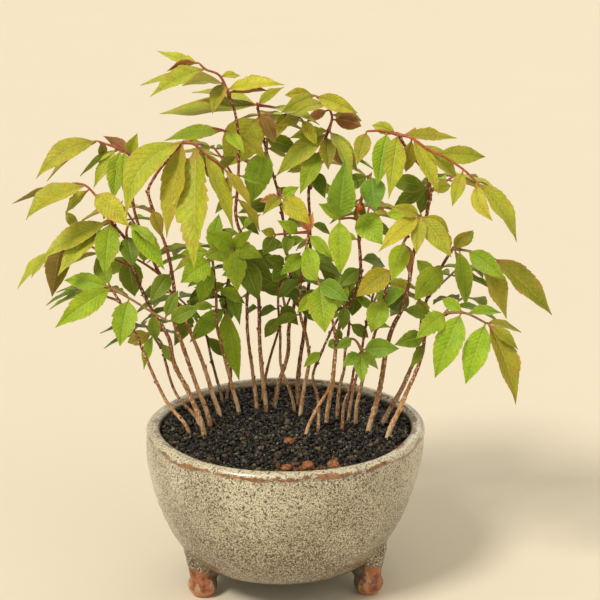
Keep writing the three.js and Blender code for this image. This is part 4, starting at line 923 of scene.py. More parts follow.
def bark_material():
    """Reads how high the point is up the stem (0 at the soil, 1 at the top) and how dark the stem is."""
    s = Shader("bark", Specular_IOR_Level=0.3)
    here = s.here()
    height = s.parts(s.attribute("tint"))[0]
    dark = s.attribute("tint", "Alpha")
    streak = s.noise(s.stretched(here, (1.0, 1.0, 0.22)), 1500.0, 4.0, 0.65)
    patch = s.noise(here, 160.0, 3.0)
    level = s.plus(height, s.sway(patch, 0.35), clamp=True)
    bark = s.ramp(level, BARK_RAMP)
    orange = s.times(s.step(patch, 0.50, 0.62), s.step(level, 0.45, 0.1, 0.0, 0.7))
    bark = s.mix(orange, bark, BARK_ORANGE)
    colour = s.mix(s.times(dark, 0.8), bark, s.tinted(bark, BARK_DEEP))
    colour = s.mix(s.step(streak, 0.36, 0.54, 0.80, 0.0), colour, s.tinted(colour, BARK_STREAK))
    pore = s.cells(s.stretched(here, (1.0, 1.0, 0.7)), 1050.0)
    spot = s.times(s.step(pore, 0.44, 0.24), s.step(patch, 0.32, 0.5))
    colour = s.mix(s.times(spot, 0.72), colour, BARK_PORE)
    s.bumps((streak, 0.7, 0.0004), (spot, 0.4, 0.0002))
    return s.finish(colour, s.step(streak, 0.3, 0.7, 0.85, 0.62))


def glaze_material():
    """Reads masks: lip, iron line, foot and bare clay, then the inside and how low the point is, for painted
    shade.
    """
    s = Shader("speckled_glaze", Specular_IOR_Level=0.5, Coat_Weight=0.6, Coat_Roughness=0.08)
    here = s.here()
    lip, iron, foot = s.parts(s.attribute("tint"))
    bare = s.attribute("tint", "Alpha")
    inside, low = s.parts(s.attribute("place", "Vector"))[:2]
    cloud = s.noise(here, 42.0, 4.0, 0.6)
    grit = s.noise(here, 1450.0, 3.0, 0.75)
    fine = s.noise(here, 2500.0, 2.0, 0.6)
    colour = s.mix(s.step(cloud, 0.36, 0.62), *GLAZE_COLOURS)
    # Painted shade: the wall darker towards the bottom, where it turns under
    colour = s.mix(s.times(low, 0.40), colour, GLAZE_LOW_SHADE)
    colour = s.mix(s.step(fine, 0.46, 0.38, 0.0, 0.60), colour, GLAZE_FLECK)

    # Dark grain all over, closer low down and where the glaze is greyer
    crowd = s.less(s.plus(s.times(low, 0.05), s.sway(cloud, 0.05)), s.times(lip, 0.02))
    colour = s.mix(s.step(s.plus(grit, crowd), 0.555, 0.60, 0.0, 0.95), colour, GLAZE_GRAINS[0])
    colour = s.mix(s.step(s.plus(fine, crowd), 0.54, 0.59, 0.0, 0.94), colour, GLAZE_GRAINS[1])

    # Iron specks of three sizes, in cells that only some of them fill
    for scale, radius, share, spot in GLAZE_SPECKS:
        distance = s.cells(here, scale)
        filled = s.parts(s.cells(here, scale, output="Color"))[0]
        size = s.times(s.step(filled, share, share + 0.02, 1.0, 0.0), radius)
        speck = s.step(s.less(distance, size), 0.0, -0.10)
        colour = s.mix(s.times(speck, 0.85), colour, spot)

    # The lip is lighter, and the iron lines are broken
    worn = s.noise(here, 300.0, 5.0, 0.7)
    soft = s.noise(here, 150.0, 3.0, 0.5)
    broken = s.noise(s.stretched(here, (1.0, 1.0, 2.0)), 330.0, 5.0, 0.75)
    colour = s.mix(s.times(lip, s.step(grit, 0.56, 0.46, 0.0, 0.6)), colour, GLAZE_LIP)
    rust = s.mix(s.step(worn, 0.38, 0.60), *RUST_COLOURS)
    edge = s.step(s.plus(iron, s.sway(broken, 2.2)), 0.46, 0.62)
    colour = s.mix(s.times(edge, 0.92), colour, rust)

    # The glaze ends on the feet in a ragged edge, with runs of thin glaze over the clay
    ragged = s.times(s.less(s.plus(worn, soft), 1.0), s.step(foot, 0.0, 0.25, 0.0, 1.8))
    run = s.step(s.plus(foot, ragged), 0.36, 0.66)
    # The foot's clay red is partly painted red bounce light
    clay = s.mix(s.step(worn, 0.40, 0.56), *FOOT_CLAY_AND_BOUNCE)
    drips = s.noise(s.stretched(here, (1.0, 1.0, 0.35)), 300.0, 4.0, 0.6)
    clay = s.mix(s.step(drips, 0.52, 0.62, 0.0, 0.60), clay, DRIP_COLOUR)
    colour = s.mix(run, colour, clay)
    # Bare clay below, its red partly painted red bounce light
    colour = s.mix(s.step(bare, 0.4, 0.6), colour, s.mix(grit, *BARE_CLAY_AND_BOUNCE))
    # Painted shade: the inside above the soil is dark
    colour = s.mix(s.times(inside, 0.93), colour, s.mix(grit, *INSIDE_SHADE_COLOURS))
    s.bumps((cloud, 0.25, 0.0012), (grit, 0.30, 0.0003), (broken, 0.15, 0.0006))
    rough = s.plus(s.step(cloud, 0.3, 0.7, 0.28, 0.42), s.times(bare, 0.15), clamp=True)
    return s.finish(colour, rough)


def soil_material():
    s = Shader("black_granules", Specular_IOR_Level=0.42)
    here = s.here()
    tint = s.attribute("tint")
    grain = s.noise(here, 1400.0, 4.0, 0.65)
    colour = s.mix(s.step(grain, 0.35, 0.7), s.tinted(tint, BLACK_GRAIN), tint)
    damp = s.noise(here, 240.0, 3.0)
    s.bumps((grain, 0.6, 0.0004))
    return s.finish(colour, s.step(damp, 0.35, 0.65, 0.15, 0.55))


def clay_material():
    s = Shader("baked_clay", Specular_IOR_Level=0.3)
    grain = s.noise(s.here(), 1100.0, 5.0, 0.65)
    colour = s.ramp(grain, CLAY_RAMP)
    s.bumps((grain, 0.8, 0.0006))
    return s.finish(colour, s.step(grain, 0.3, 0.7, 0.9, 0.7))


def floor_material():
    s = Shader("pale_floor", Specular_IOR_Level=0.2)
    cloud = s.noise(s.here(), 6.0, 3.0)
    dimmed = tuple(FLOOR_DIMMED * value for value in FLOOR_COLOUR)
    return s.finish(s.mix(cloud, FLOOR_COLOUR, dimmed), s.step(cloud, 0.3, 0.7, 0.75, 0.85))


# Meshes


class Shells:
    """Closed shells gathered into one piece, with the colours and places that the materials read."""

    def __init__(self):
        self.points, self.faces, self.tints, self.places, self.slots = [], [], [], [], []
        self.count = 0

    def add(self, points, faces, tint, place=(0.0, 0.0, 0.0), slot=0):
        size = len(points)
        self.points.append(np.asarray(points, dtype=float))
        self.tints.append(np.broadcast_to(np.asarray(tint, dtype=float), (size, 4)))
        self.places.append(np.broadcast_to(np.asarray(place, dtype=float), (size, 3)))
        for group in faces:
            rows = (np.asarray(group) + self.count).tolist()
            self.faces += rows
            self.slots += [slot] * len(rows)
        self.count += size

    def piece(self, name, materials, smooth=True):
        mesh = bpy.data.meshes.new(name)
        mesh.from_pydata(boxed(np.concatenate(self.points)).tolist(), [], self.faces)
        carry(mesh, "tint", "FLOAT_COLOR", "color", np.concatenate(self.tints))
        carry(mesh, "place", "FLOAT_VECTOR", "vector", np.concatenate(self.places))
        for material in materials:
            mesh.materials.append(material)
        mesh.polygons.foreach_set("material_index", self.slots)
        mesh.polygons.foreach_set("use_smooth", [smooth] * len(self.faces))
        if smooth:
            mesh.set_sharp_from_angle(angle=math.radians(SHARP_ANGLE))
        return linked(bpy.data.objects.new(name, mesh))


def carry(mesh, name, kind, field, values):
    made = mesh.attributes.new(name, kind, "POINT")
    made.data.foreach_set(field, np.asarray(values, dtype=np.float32).ravel())


def linked(obj):
    bpy.context.scene.collection.objects.link(obj)
    return obj


def stands_for(piece, node):
    """The piece rides on the one body and stands for the node, whose own part is hidden."""
    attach(piece, "root")
    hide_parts(node)


def grid_faces(rows, columns, wrap=False):
    """Quads of a grid of points, numbered row by row, closed round when wrapped."""
    last = columns if wrap else columns - 1
    i, j = np.meshgrid(np.arange(rows - 1), np.arange(last), indexing="ij")
    k = (j + 1) % columns
    this, then = i * columns, (i + 1) * columns
    return np.stack([this + j, this + k, then + k, then + j], axis=-1).reshape(-1, 4)


def tube_faces(rings, sides):
    """Faces of a closed tube, whose rings of points are followed by the middle points of its two ends."""
    this = np.arange(sides)
    then = (this + 1) % sides
    middle = rings * sides
    top = middle - sides
    low = np.stack([np.full(sides, middle), then, this], axis=1)
    high = np.stack([np.full(sides, middle + 1), top + this, top + then], axis=1)
    return [grid_faces(rings, sides, wrap=True), low, high]


def way_along(path):
    """How far along the path each of its points is."""
    return np.concatenate([[0.0], np.cumsum(np.linalg.norm(np.diff(path, axis=0), axis=1))])


def smooth_path(points, spacing):
    """A smooth line through the points, with its shares of the way from point to point."""
    points = np.array([tuple(p) for p in points], dtype=float)
    lengths = np.linalg.norm(np.diff(points, axis=0), axis=1)
    slopes = np.diff(points, axis=0) / lengths[:, None]
    tangents = [slopes[0]]
    for i in range(1, len(slopes)):
        before, after = lengths[i - 1], lengths[i]
        tangents.append((slopes[i - 1] * after + slopes[i] * before) / (before + after))
    tangents.append(slopes[-1])
    places, shares = [], []
    for i, length in enumerate(lengths):
        steps = max(2, round(length / spacing))
        for t in np.arange(steps) / steps:
            t2, t3 = t * t, t * t * t
            places.append(
                (2 * t3 - 3 * t2 + 1) * points[i] + (t3 - 2 * t2 + t) * length * tangents[i]
                + (3 * t2 - 2 * t3) * points[i + 1] + (t3 - t2) * length * tangents[i + 1]
            )
            shares.append(i + t)
    places.append(points[-1])
    shares.append(len(lengths))
    return np.array(places), np.array(shares)


def tube(path, radii, sides):
    """A closed tube. radii holds one number a ring, or one for each side of each ring."""
    radii = np.asarray(radii, dtype=float)
    if radii.ndim == 1:
        radii = np.repeat(radii[:, None], sides, axis=1)
    tangents = np.gradient(path, axis=0)
    tangents /= np.linalg.norm(tangents, axis=1)[:, None]
    side = np.array((0.0, -1.0, 0.0)) if abs(tangents[0][1]) < 0.9 else np.array((0.0, 0.0, 1.0))
    angles = np.arange(sides)[:, None] * math.tau / sides
    rings = []
    for place, tangent, reach in zip(path, tangents, radii[..., None]):
        side = unit(side - tangent * side.dot(tangent))
        other = np.cross(tangent, side)
        rings.append(place + np.cos(angles) * reach * side + np.sin(angles) * reach * other)
    return np.concatenate([*rings, path[:1], path[-1:]]), tube_faces(len(path), sides)


# Bowl


def spline(points, count):
    """The same curve through profile points that the solids have."""
    points = np.array(points, dtype=float)
    last = len(points) - 1
    made = []
    for step in range(count + 1):
        place = last * step / count
        i = min(int(place), last - 1) if step < count else last
        t = place - i
        a, b, c, d = (points[min(max(k, 0), last)] for k in (i - 1, i, i + 1, i + 2))
        v0, v1 = (c - a) / 2, (d - b) / 2
        made.append((2 * b - 2 * c + v0 + v1) * t**3 + (-3 * b + 3 * c - 2 * v0 - v1) * t**2 + v0 * t + b)
    return np.array(made)


def turned(profile, sides):
    """Rings of [radius, height] points round the upright axis."""
    angles = np.arange(sides) * math.tau / sides
    rings = [[(r * math.cos(a), r * math.sin(a), z) for a in angles] for r, z in profile]
    return np.array(rings).reshape(-1, 3)


def dented(points):
    """Presses the rim's dents in, less so further down, and leans the wall to the left below the rim."""
    points = points.copy()
    radius = np.hypot(points[:, 0], points[:, 1])
    angle = np.degrees(np.arctan2(points[:, 1], points[:, 0]))
    depth = np.zeros(len(points))
    for place, deepest in RIM_DENTS:
        away = (angle - place + 180) % 360 - 180
        depth += deepest * np.exp(-((away / DENT_SPREAD) ** 2))
    level = points[:, 2] / LIP_HEIGHT
    inward = depth * level**2 / BOWL_RADIUS
    points[:, :2] *= (1 - np.where(radius > 0, inward, 0))[:, None]
    points[:, 0] -= WALL_LEAN * np.maximum(1 - level**2, 0)
    return points


def ring_noise(angle, turns, seed):
    """Smooth noise round the bowl, from -1 to 1."""
    return np.array([noise.noise(Vector((turns * math.cos(a), turns * math.sin(a), seed))) for a in angle])


def band(value, half):
    """A soft band where the value is near 0."""
    return np.exp(-((value / half) ** 2))


def bowl_profile():
    outer = spline(OUTER_WALL, OUTER_STEPS)
    angles = np.linspace(0, math.pi, LIP_STEPS)[1:-1]
    middle = BOWL_RADIUS - LIP_HALF
    lip = np.stack([middle + LIP_HALF * np.cos(angles), LIP_HEIGHT + LIP_HALF * np.sin(angles)], axis=1)
    inner = spline(INNER_WALL, INNER_STEPS)
    drain = np.array([(DRAIN_RADIUS, FLOOR_TOP), (DRAIN_RADIUS, FLOOR_UNDER)])
    return np.concatenate([outer, lip, inner, drain])


def remeshed(points, faces, voxel):
    """The union of closed shells as one even skin, in millimetres about the bowl's axis."""
    mesh = bpy.data.meshes.new("rough")
    mesh.from_pydata(to_metres(points).tolist(), [], faces)
    rough = linked(bpy.data.objects.new("rough", mesh))
    skin = rough.modifiers.new("skin", "REMESH")
    skin.mode = "VOXEL"
    skin.voxel_size = voxel * MM
    result = bpy.data.meshes.new_from_object(rough.evaluated_get(bpy.context.evaluated_depsgraph_get()))
    bpy.data.objects.remove(rough)
    places = np.zeros(len(result.vertices) * 3, dtype=np.float32)
    result.vertices.foreach_get("co", places)
    return result, places.reshape(-1, 3).astype(float) / MM - BOWL_PLACE


def evened(mesh, points, weights, rounds):
    """Moves each point towards the middle of its neighbours, as far as its weight says."""
    edges = np.zeros(len(mesh.edges) * 2, dtype=np.int32)
    mesh.edges.foreach_get("vertices", edges)
    first, second = edges.reshape(-1, 2).T
    count = np.bincount(first, minlength=len(points)) + np.bincount(second, minlength=len(points))
    for _ in range(rounds):
        total = np.zeros_like(points)
        np.add.at(total, first, points[second])
        np.add.at(total, second, points[first])
        points = points + (total / count[:, None] - points) * weights[:, None]
    return points


def bowl_shells():
    """The bowl's wall and each foot's nub, tab and web, as the points and faces of closed shells."""
    profile = bowl_profile()
    wall = dented(turned(profile, BOWL_SIDES))
    faces = (grid_faces(len(profile) + 1, BOWL_SIDES, wrap=True) % len(wall)).tolist()
    points = [wall]
    count = len(wall)
    for x, y in FEET:
        way = unit(np.array((x, y, 0.0)))
        nub = turned(FOOT_PROFILE, FOOT_SIDES) + (x, y, 0.0)
        shells = [(nub, [grid_faces(len(FOOT_PROFILE), FOOT_SIDES, wrap=True)])]
        low = np.array((x, y, TAB_LOW))
        for out, top, radii in ((TAB_OUT, TAB_HIGH, TAB_RADII), (WEB_OUT, WEB_HIGH, WEB_RADII)):
            line = np.linspace(low, (*(low + way * out)[:2], top), TAB_RINGS)
            shells.append(tube(line, np.linspace(*radii, TAB_RINGS), FOOT_SIDES))
        for shell, groups in shells:
            points.append(shell)
            for group in groups:
                faces += (group + count).tolist()
            count += len(shell)
    return np.concatenate(points), faces


def past_rim(radius, height):
    """Whether a point of the bowl is on the outer side of the middle of its rim."""
    return radius > RIM_MIDDLE + (height - LIP_HEIGHT) * RIM_SLANT


def iron_line(distance, half, strength, noises):
    """How strong an iron line is, by the distance from its middle and the noise round the bowl."""
    steady, change = strength
    return band(distance, half) * (steady + change * noises)


def make_bowl(material):
    mesh, skin = remeshed(*bowl_shells(), BOWL_VOXEL)

    # The feet run into the wall softly
    height = skin[:, 2]
    spread = [np.hypot(skin[:, 0] - FOOT_SPLAY * x, skin[:, 1] - FOOT_SPLAY * y) for x, y in FEET]
    spread = np.min(spread, axis=0)
    flow = smoothstep(spread, *FLOW_SPREAD) * smoothstep(height, *FLOW_START) * smoothstep(height, *FLOW_END)
    skin = evened(mesh, skin, EVENING + FLOW_EVENING * flow, EVENING_ROUNDS)

    # The whole skin is a little uneven, as thrown clay is, with a groove under the lip
    height = skin[:, 2].copy()
    radius = np.hypot(skin[:, 0], skin[:, 1])
    angle = np.arctan2(skin[:, 1], skin[:, 0])
    outer = smoothstep(radius, *OUTSIDE) * past_rim(radius, height)
    slow, quick = GROOVE_SWAYS
    level = GROOVE_HEIGHT + slow * ring_noise(angle, *SLOW_SWAY) + quick * ring_noise(angle, *QUICK_SWAY)
    groove = GROOVE_DEPTH * band(height - level, GROOVE_HALF) * outer
    marks = 1 + np.sin(height * MARK_PITCH + MARK_SWAY * ring_noise(angle, *TURNING_SWAY))
    marks = MARK_DEPTH * marks * smoothstep(height, *MARK_END)
    lumps = [noise.noise(Vector(p) * LUMP_SCALE) + FINE_LUMP * noise.noise(Vector(p) * FINE_LUMP_SCALE)
             for p in skin]
    depth = LUMP_DEPTH - LIP_SMOOTHER * smoothstep(height, *LIP_START)
    inward = groove + outer * marks * 0.5 + outer * depth * (1 + np.array(lumps))
    skin[:, :2] *= (1 - np.where(radius > 1, inward / np.maximum(radius, 1), 0))[:, None]
    swell = RIM_UNEVEN * ring_noise(angle, *RIM_SWELL) - RIM_UNEVEN
    skin[:, 2] = np.maximum(height + smoothstep(height, *RIM_START) * swell, 0.0)
    mesh.vertices.foreach_set("co", boxed(skin).astype(np.float32).ravel())
    mesh.update()

    # Masks for the glaze: the iron lines, the lip's band above them, and the feet
    height = skin[:, 2]
    streaks = ring_noise(angle, *STREAKS)
    first = iron_line(height - level - IRON_UP, IRON_HALF, IRON_STRENGTH, streaks) * outer
    below = height - level + SECOND_DOWN + SECOND_SWAY * streaks
    second = iron_line(below, SECOND_HALF, SECOND_STRENGTH, ring_noise(angle, *SECOND_STREAKS)) * outer
    edge = iron_line(height - EDGE_HEIGHT, EDGE_HALF, EDGE_STRENGTH, ring_noise(angle, *RIM_STREAKS))
    iron = np.maximum.reduce([first, second, edge * (radius < EDGE_RADIUS), np.zeros_like(edge)])
    drip = np.array([DRIP * noise.noise(Vector(p) * DRIP_SCALE) for p in skin])
    foot = smoothstep(height, *(limit + drip for limit in GLAZE_END_HEIGHTS))
    foot = smoothstep(spread, *GLAZE_END_SPREAD) * foot
    bare = smoothstep(height, *(limit + BARE_DRIP * drip for limit in BARE_HEIGHTS))
    bare = bare * smoothstep(spread, *BARE_SPREAD)
    # The inside, which is darkened with painted shade
    inside = (1 - past_rim(radius, height)) * smoothstep(height, *INSIDE_START)
    lip = smoothstep(height, *(level + limit for limit in LIP_BAND))
    carry(mesh, "tint", "FLOAT_COLOR", "color", np.stack([lip, iron, foot, bare], axis=1))
    # How low the point is, which darkens the wall with painted shade and closer grain
    low = smoothstep(height, *LOW_WALL)
    carry(mesh, "place", "FLOAT_VECTOR", "vector", np.stack([inside, low, np.zeros_like(low)], axis=1))
    mesh.materials.clear()
    mesh.materials.append(material)
    mesh.polygons.foreach_set("use_smooth", [True] * len(mesh.polygons))
    stands_for(linked(bpy.data.objects.new("speckled_bowl", mesh)), "bowl")


# Soil


def soil_height(x, y):
    """The height of the solid's lumpy top."""
    dome = SOIL_DOME * (1 - (x * x + y * y) / (BOWL_RADIUS * BOWL_RADIUS))
    lumps = np.sin(x * 0.9 + y * 0.37) * np.cos(y * 0.83) + np.sin(x * 1.7 - y * 1.3 + 1)
    return SOIL_EDGE + dome + 0.5 * SOIL_LUMP * lumps


def heap(x, y):
    """How much higher the loose granules lie against the wall than the solid's top."""
    return HEAP_RISE * smoothstep(np.hypot(x, y), SOIL_RIM - HEAP_WIDTH, SOIL_RIM)


def ball(subdivisions):
    """Points and triangles of an even ball of radius 1."""
    shape = bmesh.new()
    bmesh.ops.create_icosphere(shape, subdivisions=subdivisions, radius=1.0)
    points = np.array([v.co[:] for v in shape.verts])
    faces = np.array([[v.index for v in face.verts] for face in shape.faces])
    shape.free()
    return points, faces


def turns(random_numbers):
    """A random rotation for each row of four numbers."""
    q = random_numbers / np.linalg.norm(random_numbers, axis=1)[:, None]
    w, x, y, z = q.T
    return np.stack([
        1 - 2 * (y * y + z * z), 2 * (x * y - z * w), 2 * (x * z + y * w),
        2 * (x * y + z * w), 1 - 2 * (x * x + z * z), 2 * (y * z - x * w),
        2 * (x * z - y * w), 2 * (y * z + x * w), 1 - 2 * (x * x + y * y),
    ], axis=1).reshape(-1, 3, 3)


def add_fill(shells):
    """The fill, as deep as the solid, a little lower at the top so that the granules make the surface."""
    side = spline(INNER_WALL, INNER_STEPS) - (GAP, 0.0)
    side = side[side[:, 1] < SOIL_EDGE - FILL_EDGE][::-1]
    rings = np.linspace(SOIL_RIM, FILL_HUB, FILL_RINGS)
    top = np.stack([rings, np.full(len(rings), SOIL_EDGE)], axis=1)
    profile = np.concatenate([[(FILL_HUB, FLOOR_TOP + GAP)], side, top])
    fill = dented(turned(profile, FILL_SIDES))
    surface = fill[:, 2] >= SOIL_EDGE
    fill[surface, 2] = soil_height(fill[surface, 0], fill[surface, 1]) - FILL_DROP
    ends = np.array([(0, 0, FLOOR_TOP + GAP), (0, 0, float(soil_height(0, 0)) - FILL_DROP)])
    shells.add(np.concatenate([fill, ends]), tube_faces(len(profile), FILL_SIDES), (*GRANULE_TONES_AND_GLINTS[0], 1.0))


def make_soil(material, stem_feet):
    draw = np.random.default_rng(20)
    shells = Shells()
    add_fill(shells)

    # Granules in a shaken grid over the whole top, and a second, sparser layer that fills the dips
    shape, faces = ball(GRANULE_DETAIL)
    for lift, wider in GRANULE_LAYERS:
        spacing = GRANULE_SPACING * wider
        across = np.arange(-SOIL_RIM, SOIL_RIM, spacing)
        x, y = (a.ravel() for a in np.meshgrid(across, across))
        x = x + draw.uniform(-0.5, 0.5, len(x)) * spacing
        y = y + draw.uniform(-0.5, 0.5, len(y)) * spacing
        size = draw.uniform(*GRANULE_SIZES, len(x)) * draw.uniform(*GRANULE_CHANGES, len(x))
        keep = np.hypot(x, y) < SOIL_RIM - WALL_CLEAR * size
        for foot_x, foot_y, radius in stem_feet:
            keep &= np.hypot(x - foot_x, y - foot_y) > radius + STEM_CLEAR * size
        for clay_x, clay_y, radius in CLAY_GRAINS:
            keep &= np.hypot(x - clay_x, y - clay_y) > radius * CLAY_SUNK + CLAY_CLEAR * size
        x, y, size = x[keep], y[keep], size[keep]
        count = len(x)
        z = soil_height(x, y) + heap(x, y) + lift + draw.uniform(*GRANULE_LEVELS, count)
        forms = shape[None] * draw.uniform(*GRANULE_CORNERS, (count, len(shape), 1))
        forms = forms * draw.uniform(*GRANULE_WIDTHS, (count, 1, 3))
        placed = np.einsum("nij,nkj->nki", turns(draw.normal(size=(count, 4))), forms) * size[:, None, None]
        placed += np.stack([x, y, z], axis=1)[:, None]
        placed = dented(placed.reshape(-1, 3))
        # The lightest granules are partly painted glints
        tones = np.array(GRANULE_TONES_AND_GLINTS)[draw.choice(len(GRANULE_TONES_AND_GLINTS), count, p=BLACK_SHARES)]
        for clay_x, clay_y, _ in CLAY_GRAINS[1:]:
            close = np.hypot(x - clay_x, y - clay_y) < CRUMB_REACH
            tones[close & (draw.uniform(0, 1, count) < CRUMB_SHARE)] = CRUMB
        tones = tones * draw.uniform(*GRANULE_SHADES, (count, 1))
        tints = np.repeat(np.concatenate([tones, np.ones((count, 1))], axis=1), len(shape), axis=0)
        every = (faces[None] + (np.arange(count) * len(shape))[:, None, None]).reshape(-1, 3)
        shells.add(placed, [every], tints)
    stands_for(shells.piece("granular_soil", [material], smooth=False), "soil")


def make_clay_grains(material):
    shape, faces = ball(CLAY_DETAIL)
    for number, (x, y, radius) in enumerate(CLAY_GRAINS, start=1):
        own = Vector((number, 0, 0))
        bumps = np.array([noise.noise(Vector(p) * CLAY_DENT_SCALE + own) * CLAY_DENT
                          + noise.noise(Vector(p) * CLAY_GRIT_SCALE) * CLAY_GRIT for p in shape])
        form = shape * (CLAY_SIZE + bumps)[:, None] * CLAY_SHAPE * radius
        turn = np.array(Matrix.Rotation(x, 3, "Z"))
        placed = form @ turn.T + (x, y, float(soil_height(x, y)) + CLAY_LIFT * radius)
        shells = Shells()
        shells.add(placed, [faces], (1.0, 1.0, 1.0, 1.0))
        stands_for(shells.piece(f"clay_lump_{number}", [material]), f"clay_grain_{number}")


# Seedlings


def seen(point):
    """The real place of a point that is given as it is seen from the front, with how far back it lies."""
    across, up, back = point
    far = 1 - back / VIEWER.y
    return Vector((VIEWER.x + (across - VIEWER.x) * far, back, VIEWER.z + (up - VIEWER.z) * far))


def on_line(line, across, up):
    """The point of a seen line that is closest to a seen place, with the line's own depth there."""
    best, nearest = None, None
    for a, b in zip(line, line[1:]):
        run = (b[0] - a[0]) ** 2 + (b[1] - a[1]) ** 2
        share = ((across - a[0]) * (b[0] - a[0]) + (up - a[1]) * (b[1] - a[1])) / run
        t = min(max(share, 0.0), 1.0)
        point = [a[k] + (b[k] - a[k]) * t for k in range(3)]
        distance = math.hypot(point[0] - across, point[1] - up)
        if nearest is None or distance < nearest:
            best, nearest = point, distance
    return best


def seen_blade(line, row, attempt):
    """Where a leaflet of the table lies, as its solid is made."""
    x0, z0, x1, z1, width, lean = row[:6]
    shift, share = attempt
    root = on_line(line, x0, z0)
    base = seen(root)
    steps = (x1 - root[0], z1 - root[1], lean + shift)
    tip = seen([start + step * share for start, step in zip(root, steps)])
    along = (tip - base).normalized()
    length = (tip - base).length
    real = max(abs(width), BLADE_RATIO * length)
    sight = VIEWER - base
    facing = (sight - along * sight.dot(along)).normalized()
    turn = along.cross(facing)
    if turn.dot(Vector((base.x, base.y, 100)).normalized()) < 0:
        turn = -turn
    opening = width / real
    normal = facing * opening + turn * math.sqrt(1 - opening * opening)
    across = Vector((-(tip.z - base.z), 0, tip.x - base.x)).normalized()
    if across.z < 0:
        across = -across
    bow = row[6] if len(row) > 6 else BLADE_BOW * length * across.z
    arched = BLADE_ARCH * length * normal.dot(across)
    bow = across * (bow - arched)
    return {"base": base, "tip": tip, "normal": normal, "width": real, "bow": bow, "rows": None}


def small_blade(base, tip, normal, width):
    """A small leaflet without a bow, and with two pairs of margin points, as the solids' rear ones have."""
    return {"base": base, "tip": tip, "normal": normal, "width": width, "bow": Vector((0, 0, 0)), "rows": 2}


def rear_blades(stalk):
    """The leaflets of a leaf that is given by its stalk alone: pairs along it, and one at its end."""
    end = stalk[-1]
    along = (end - stalk[0]).normalized()
    side = Vector((along.y, -along.x, 0)).normalized()
    plans = []
    for share in REAR_PAIRS:
        base = stalk[1].lerp(end, share)
        for aside in (REAR_ASIDE, -REAR_ASIDE):
            plans.append((base, along * REAR_FORWARD + side * aside, REAR_FALL, REAR_LENGTH))
    plans.append((end, along, REAR_LAST_FALL, REAR_LENGTH * REAR_LAST_SIZE))
    blades = []
    for base, way, fall, size in plans:
        way = Vector((way.x, way.y, -fall)).normalized()
        blades.append(small_blade(base, base + way * size, Vector((0, 0, 1)), size * REAR_WIDTH))
    return blades


def blade_axes(blade):
    chord = blade["tip"] - blade["base"]
    along = chord.normalized()
    side = along.cross(blade["normal"]).normalized()
    face = side.cross(along).normalized()
    bend = face * (BLADE_ARCH * chord.length) + blade["bow"]
    return chord, side, face, bend


def solid_outline(blade):
    """The points of a leaflet's margin on its solid."""
    chord, side, face, bend = blade_axes(blade)
    rows = blade["rows"] or (4 if chord.length > LONG else 3 if chord.length > MIDDLING else 2)
    points = [blade["tip"]]
    for row, (s, share) in enumerate(CAD_OUTLINES[rows]):
        middle = blade["base"] + chord * s + bend * (4 * s * (1 - s))
        half = share * blade["width"] / 2
        rise = (BLADE_FOLD + (BLADE_WAVE if row % 2 == 0 else -BLADE_WAVE)) * half
        points += [middle - side * half + face * rise, middle + side * half + face * rise]
    return points


class Solid:
    """The surface of a seedling's CAD node, to find which of its leaflets were grown and where."""

    def __init__(self, node):
        mesh = frame["nodes"][node].data
        points = [v.co[:] for v in mesh.vertices]
        self.surface = BVHTree.FromPolygons(points, [p.vertices[:] for p in mesh.polygons])

    def share_on(self, blade):
        outline = solid_outline(blade)
        near = 0
        for point in outline:
            distance = self.surface.find_nearest(Vector(to_metres(point)))[3]
            near += distance < MATCH_DISTANCE * MM
        return near / len(outline)

    def grown(self, choices):
        """The choice that lies on the solid, or None if the solid has none of them."""
        shares = [self.share_on(choice) for choice in choices]
        best = max(shares)
        return choices[shares.index(best)] if best >= MATCH_SHARE else None


def blade_rows(length, toothed, draw):
    """The stations along a blade with, for each side, how far the margin is cut in there."""
    count = max(4, round(length / draw.uniform(*TOOTH_PITCHES)))
    low, high = TOOTH_SPAN
    depth = draw.uniform(*(TOOTH_DEPTHS if toothed else SMOOTH_DEPTHS))
    stations, cuts = [0.0], [(0.0, 0.0)]
    for tooth in range(count):
        sizes = [depth * draw.uniform(*TOOTH_CHANGES) for _ in range(2)]
        for place, cut in TOOTH_STEPS:
            stations.append(low + (high - low) * (tooth + place) / count)
            cuts.append(tuple(cut * size for size in sizes))
    stations += [high, NEAR_TIP, 1.0]
    cuts += [(-depth * LAST_CUT, -depth * LAST_CUT), (0.0, 0.0), (0.0, 0.0)]
    return np.array(stations), np.array(cuts)


def blade_width(u, slender):
    """The width of a blade along its length, as a share of the widest."""
    share = smoothstep(slender, *SLENDERNESS)
    broad, drawn = (spline(form, WIDTH_STEPS) for form in (BROAD, DRAWN_OUT))
    return (1 - share) * np.interp(u, *broad.T) + share * np.interp(u, *drawn.T)


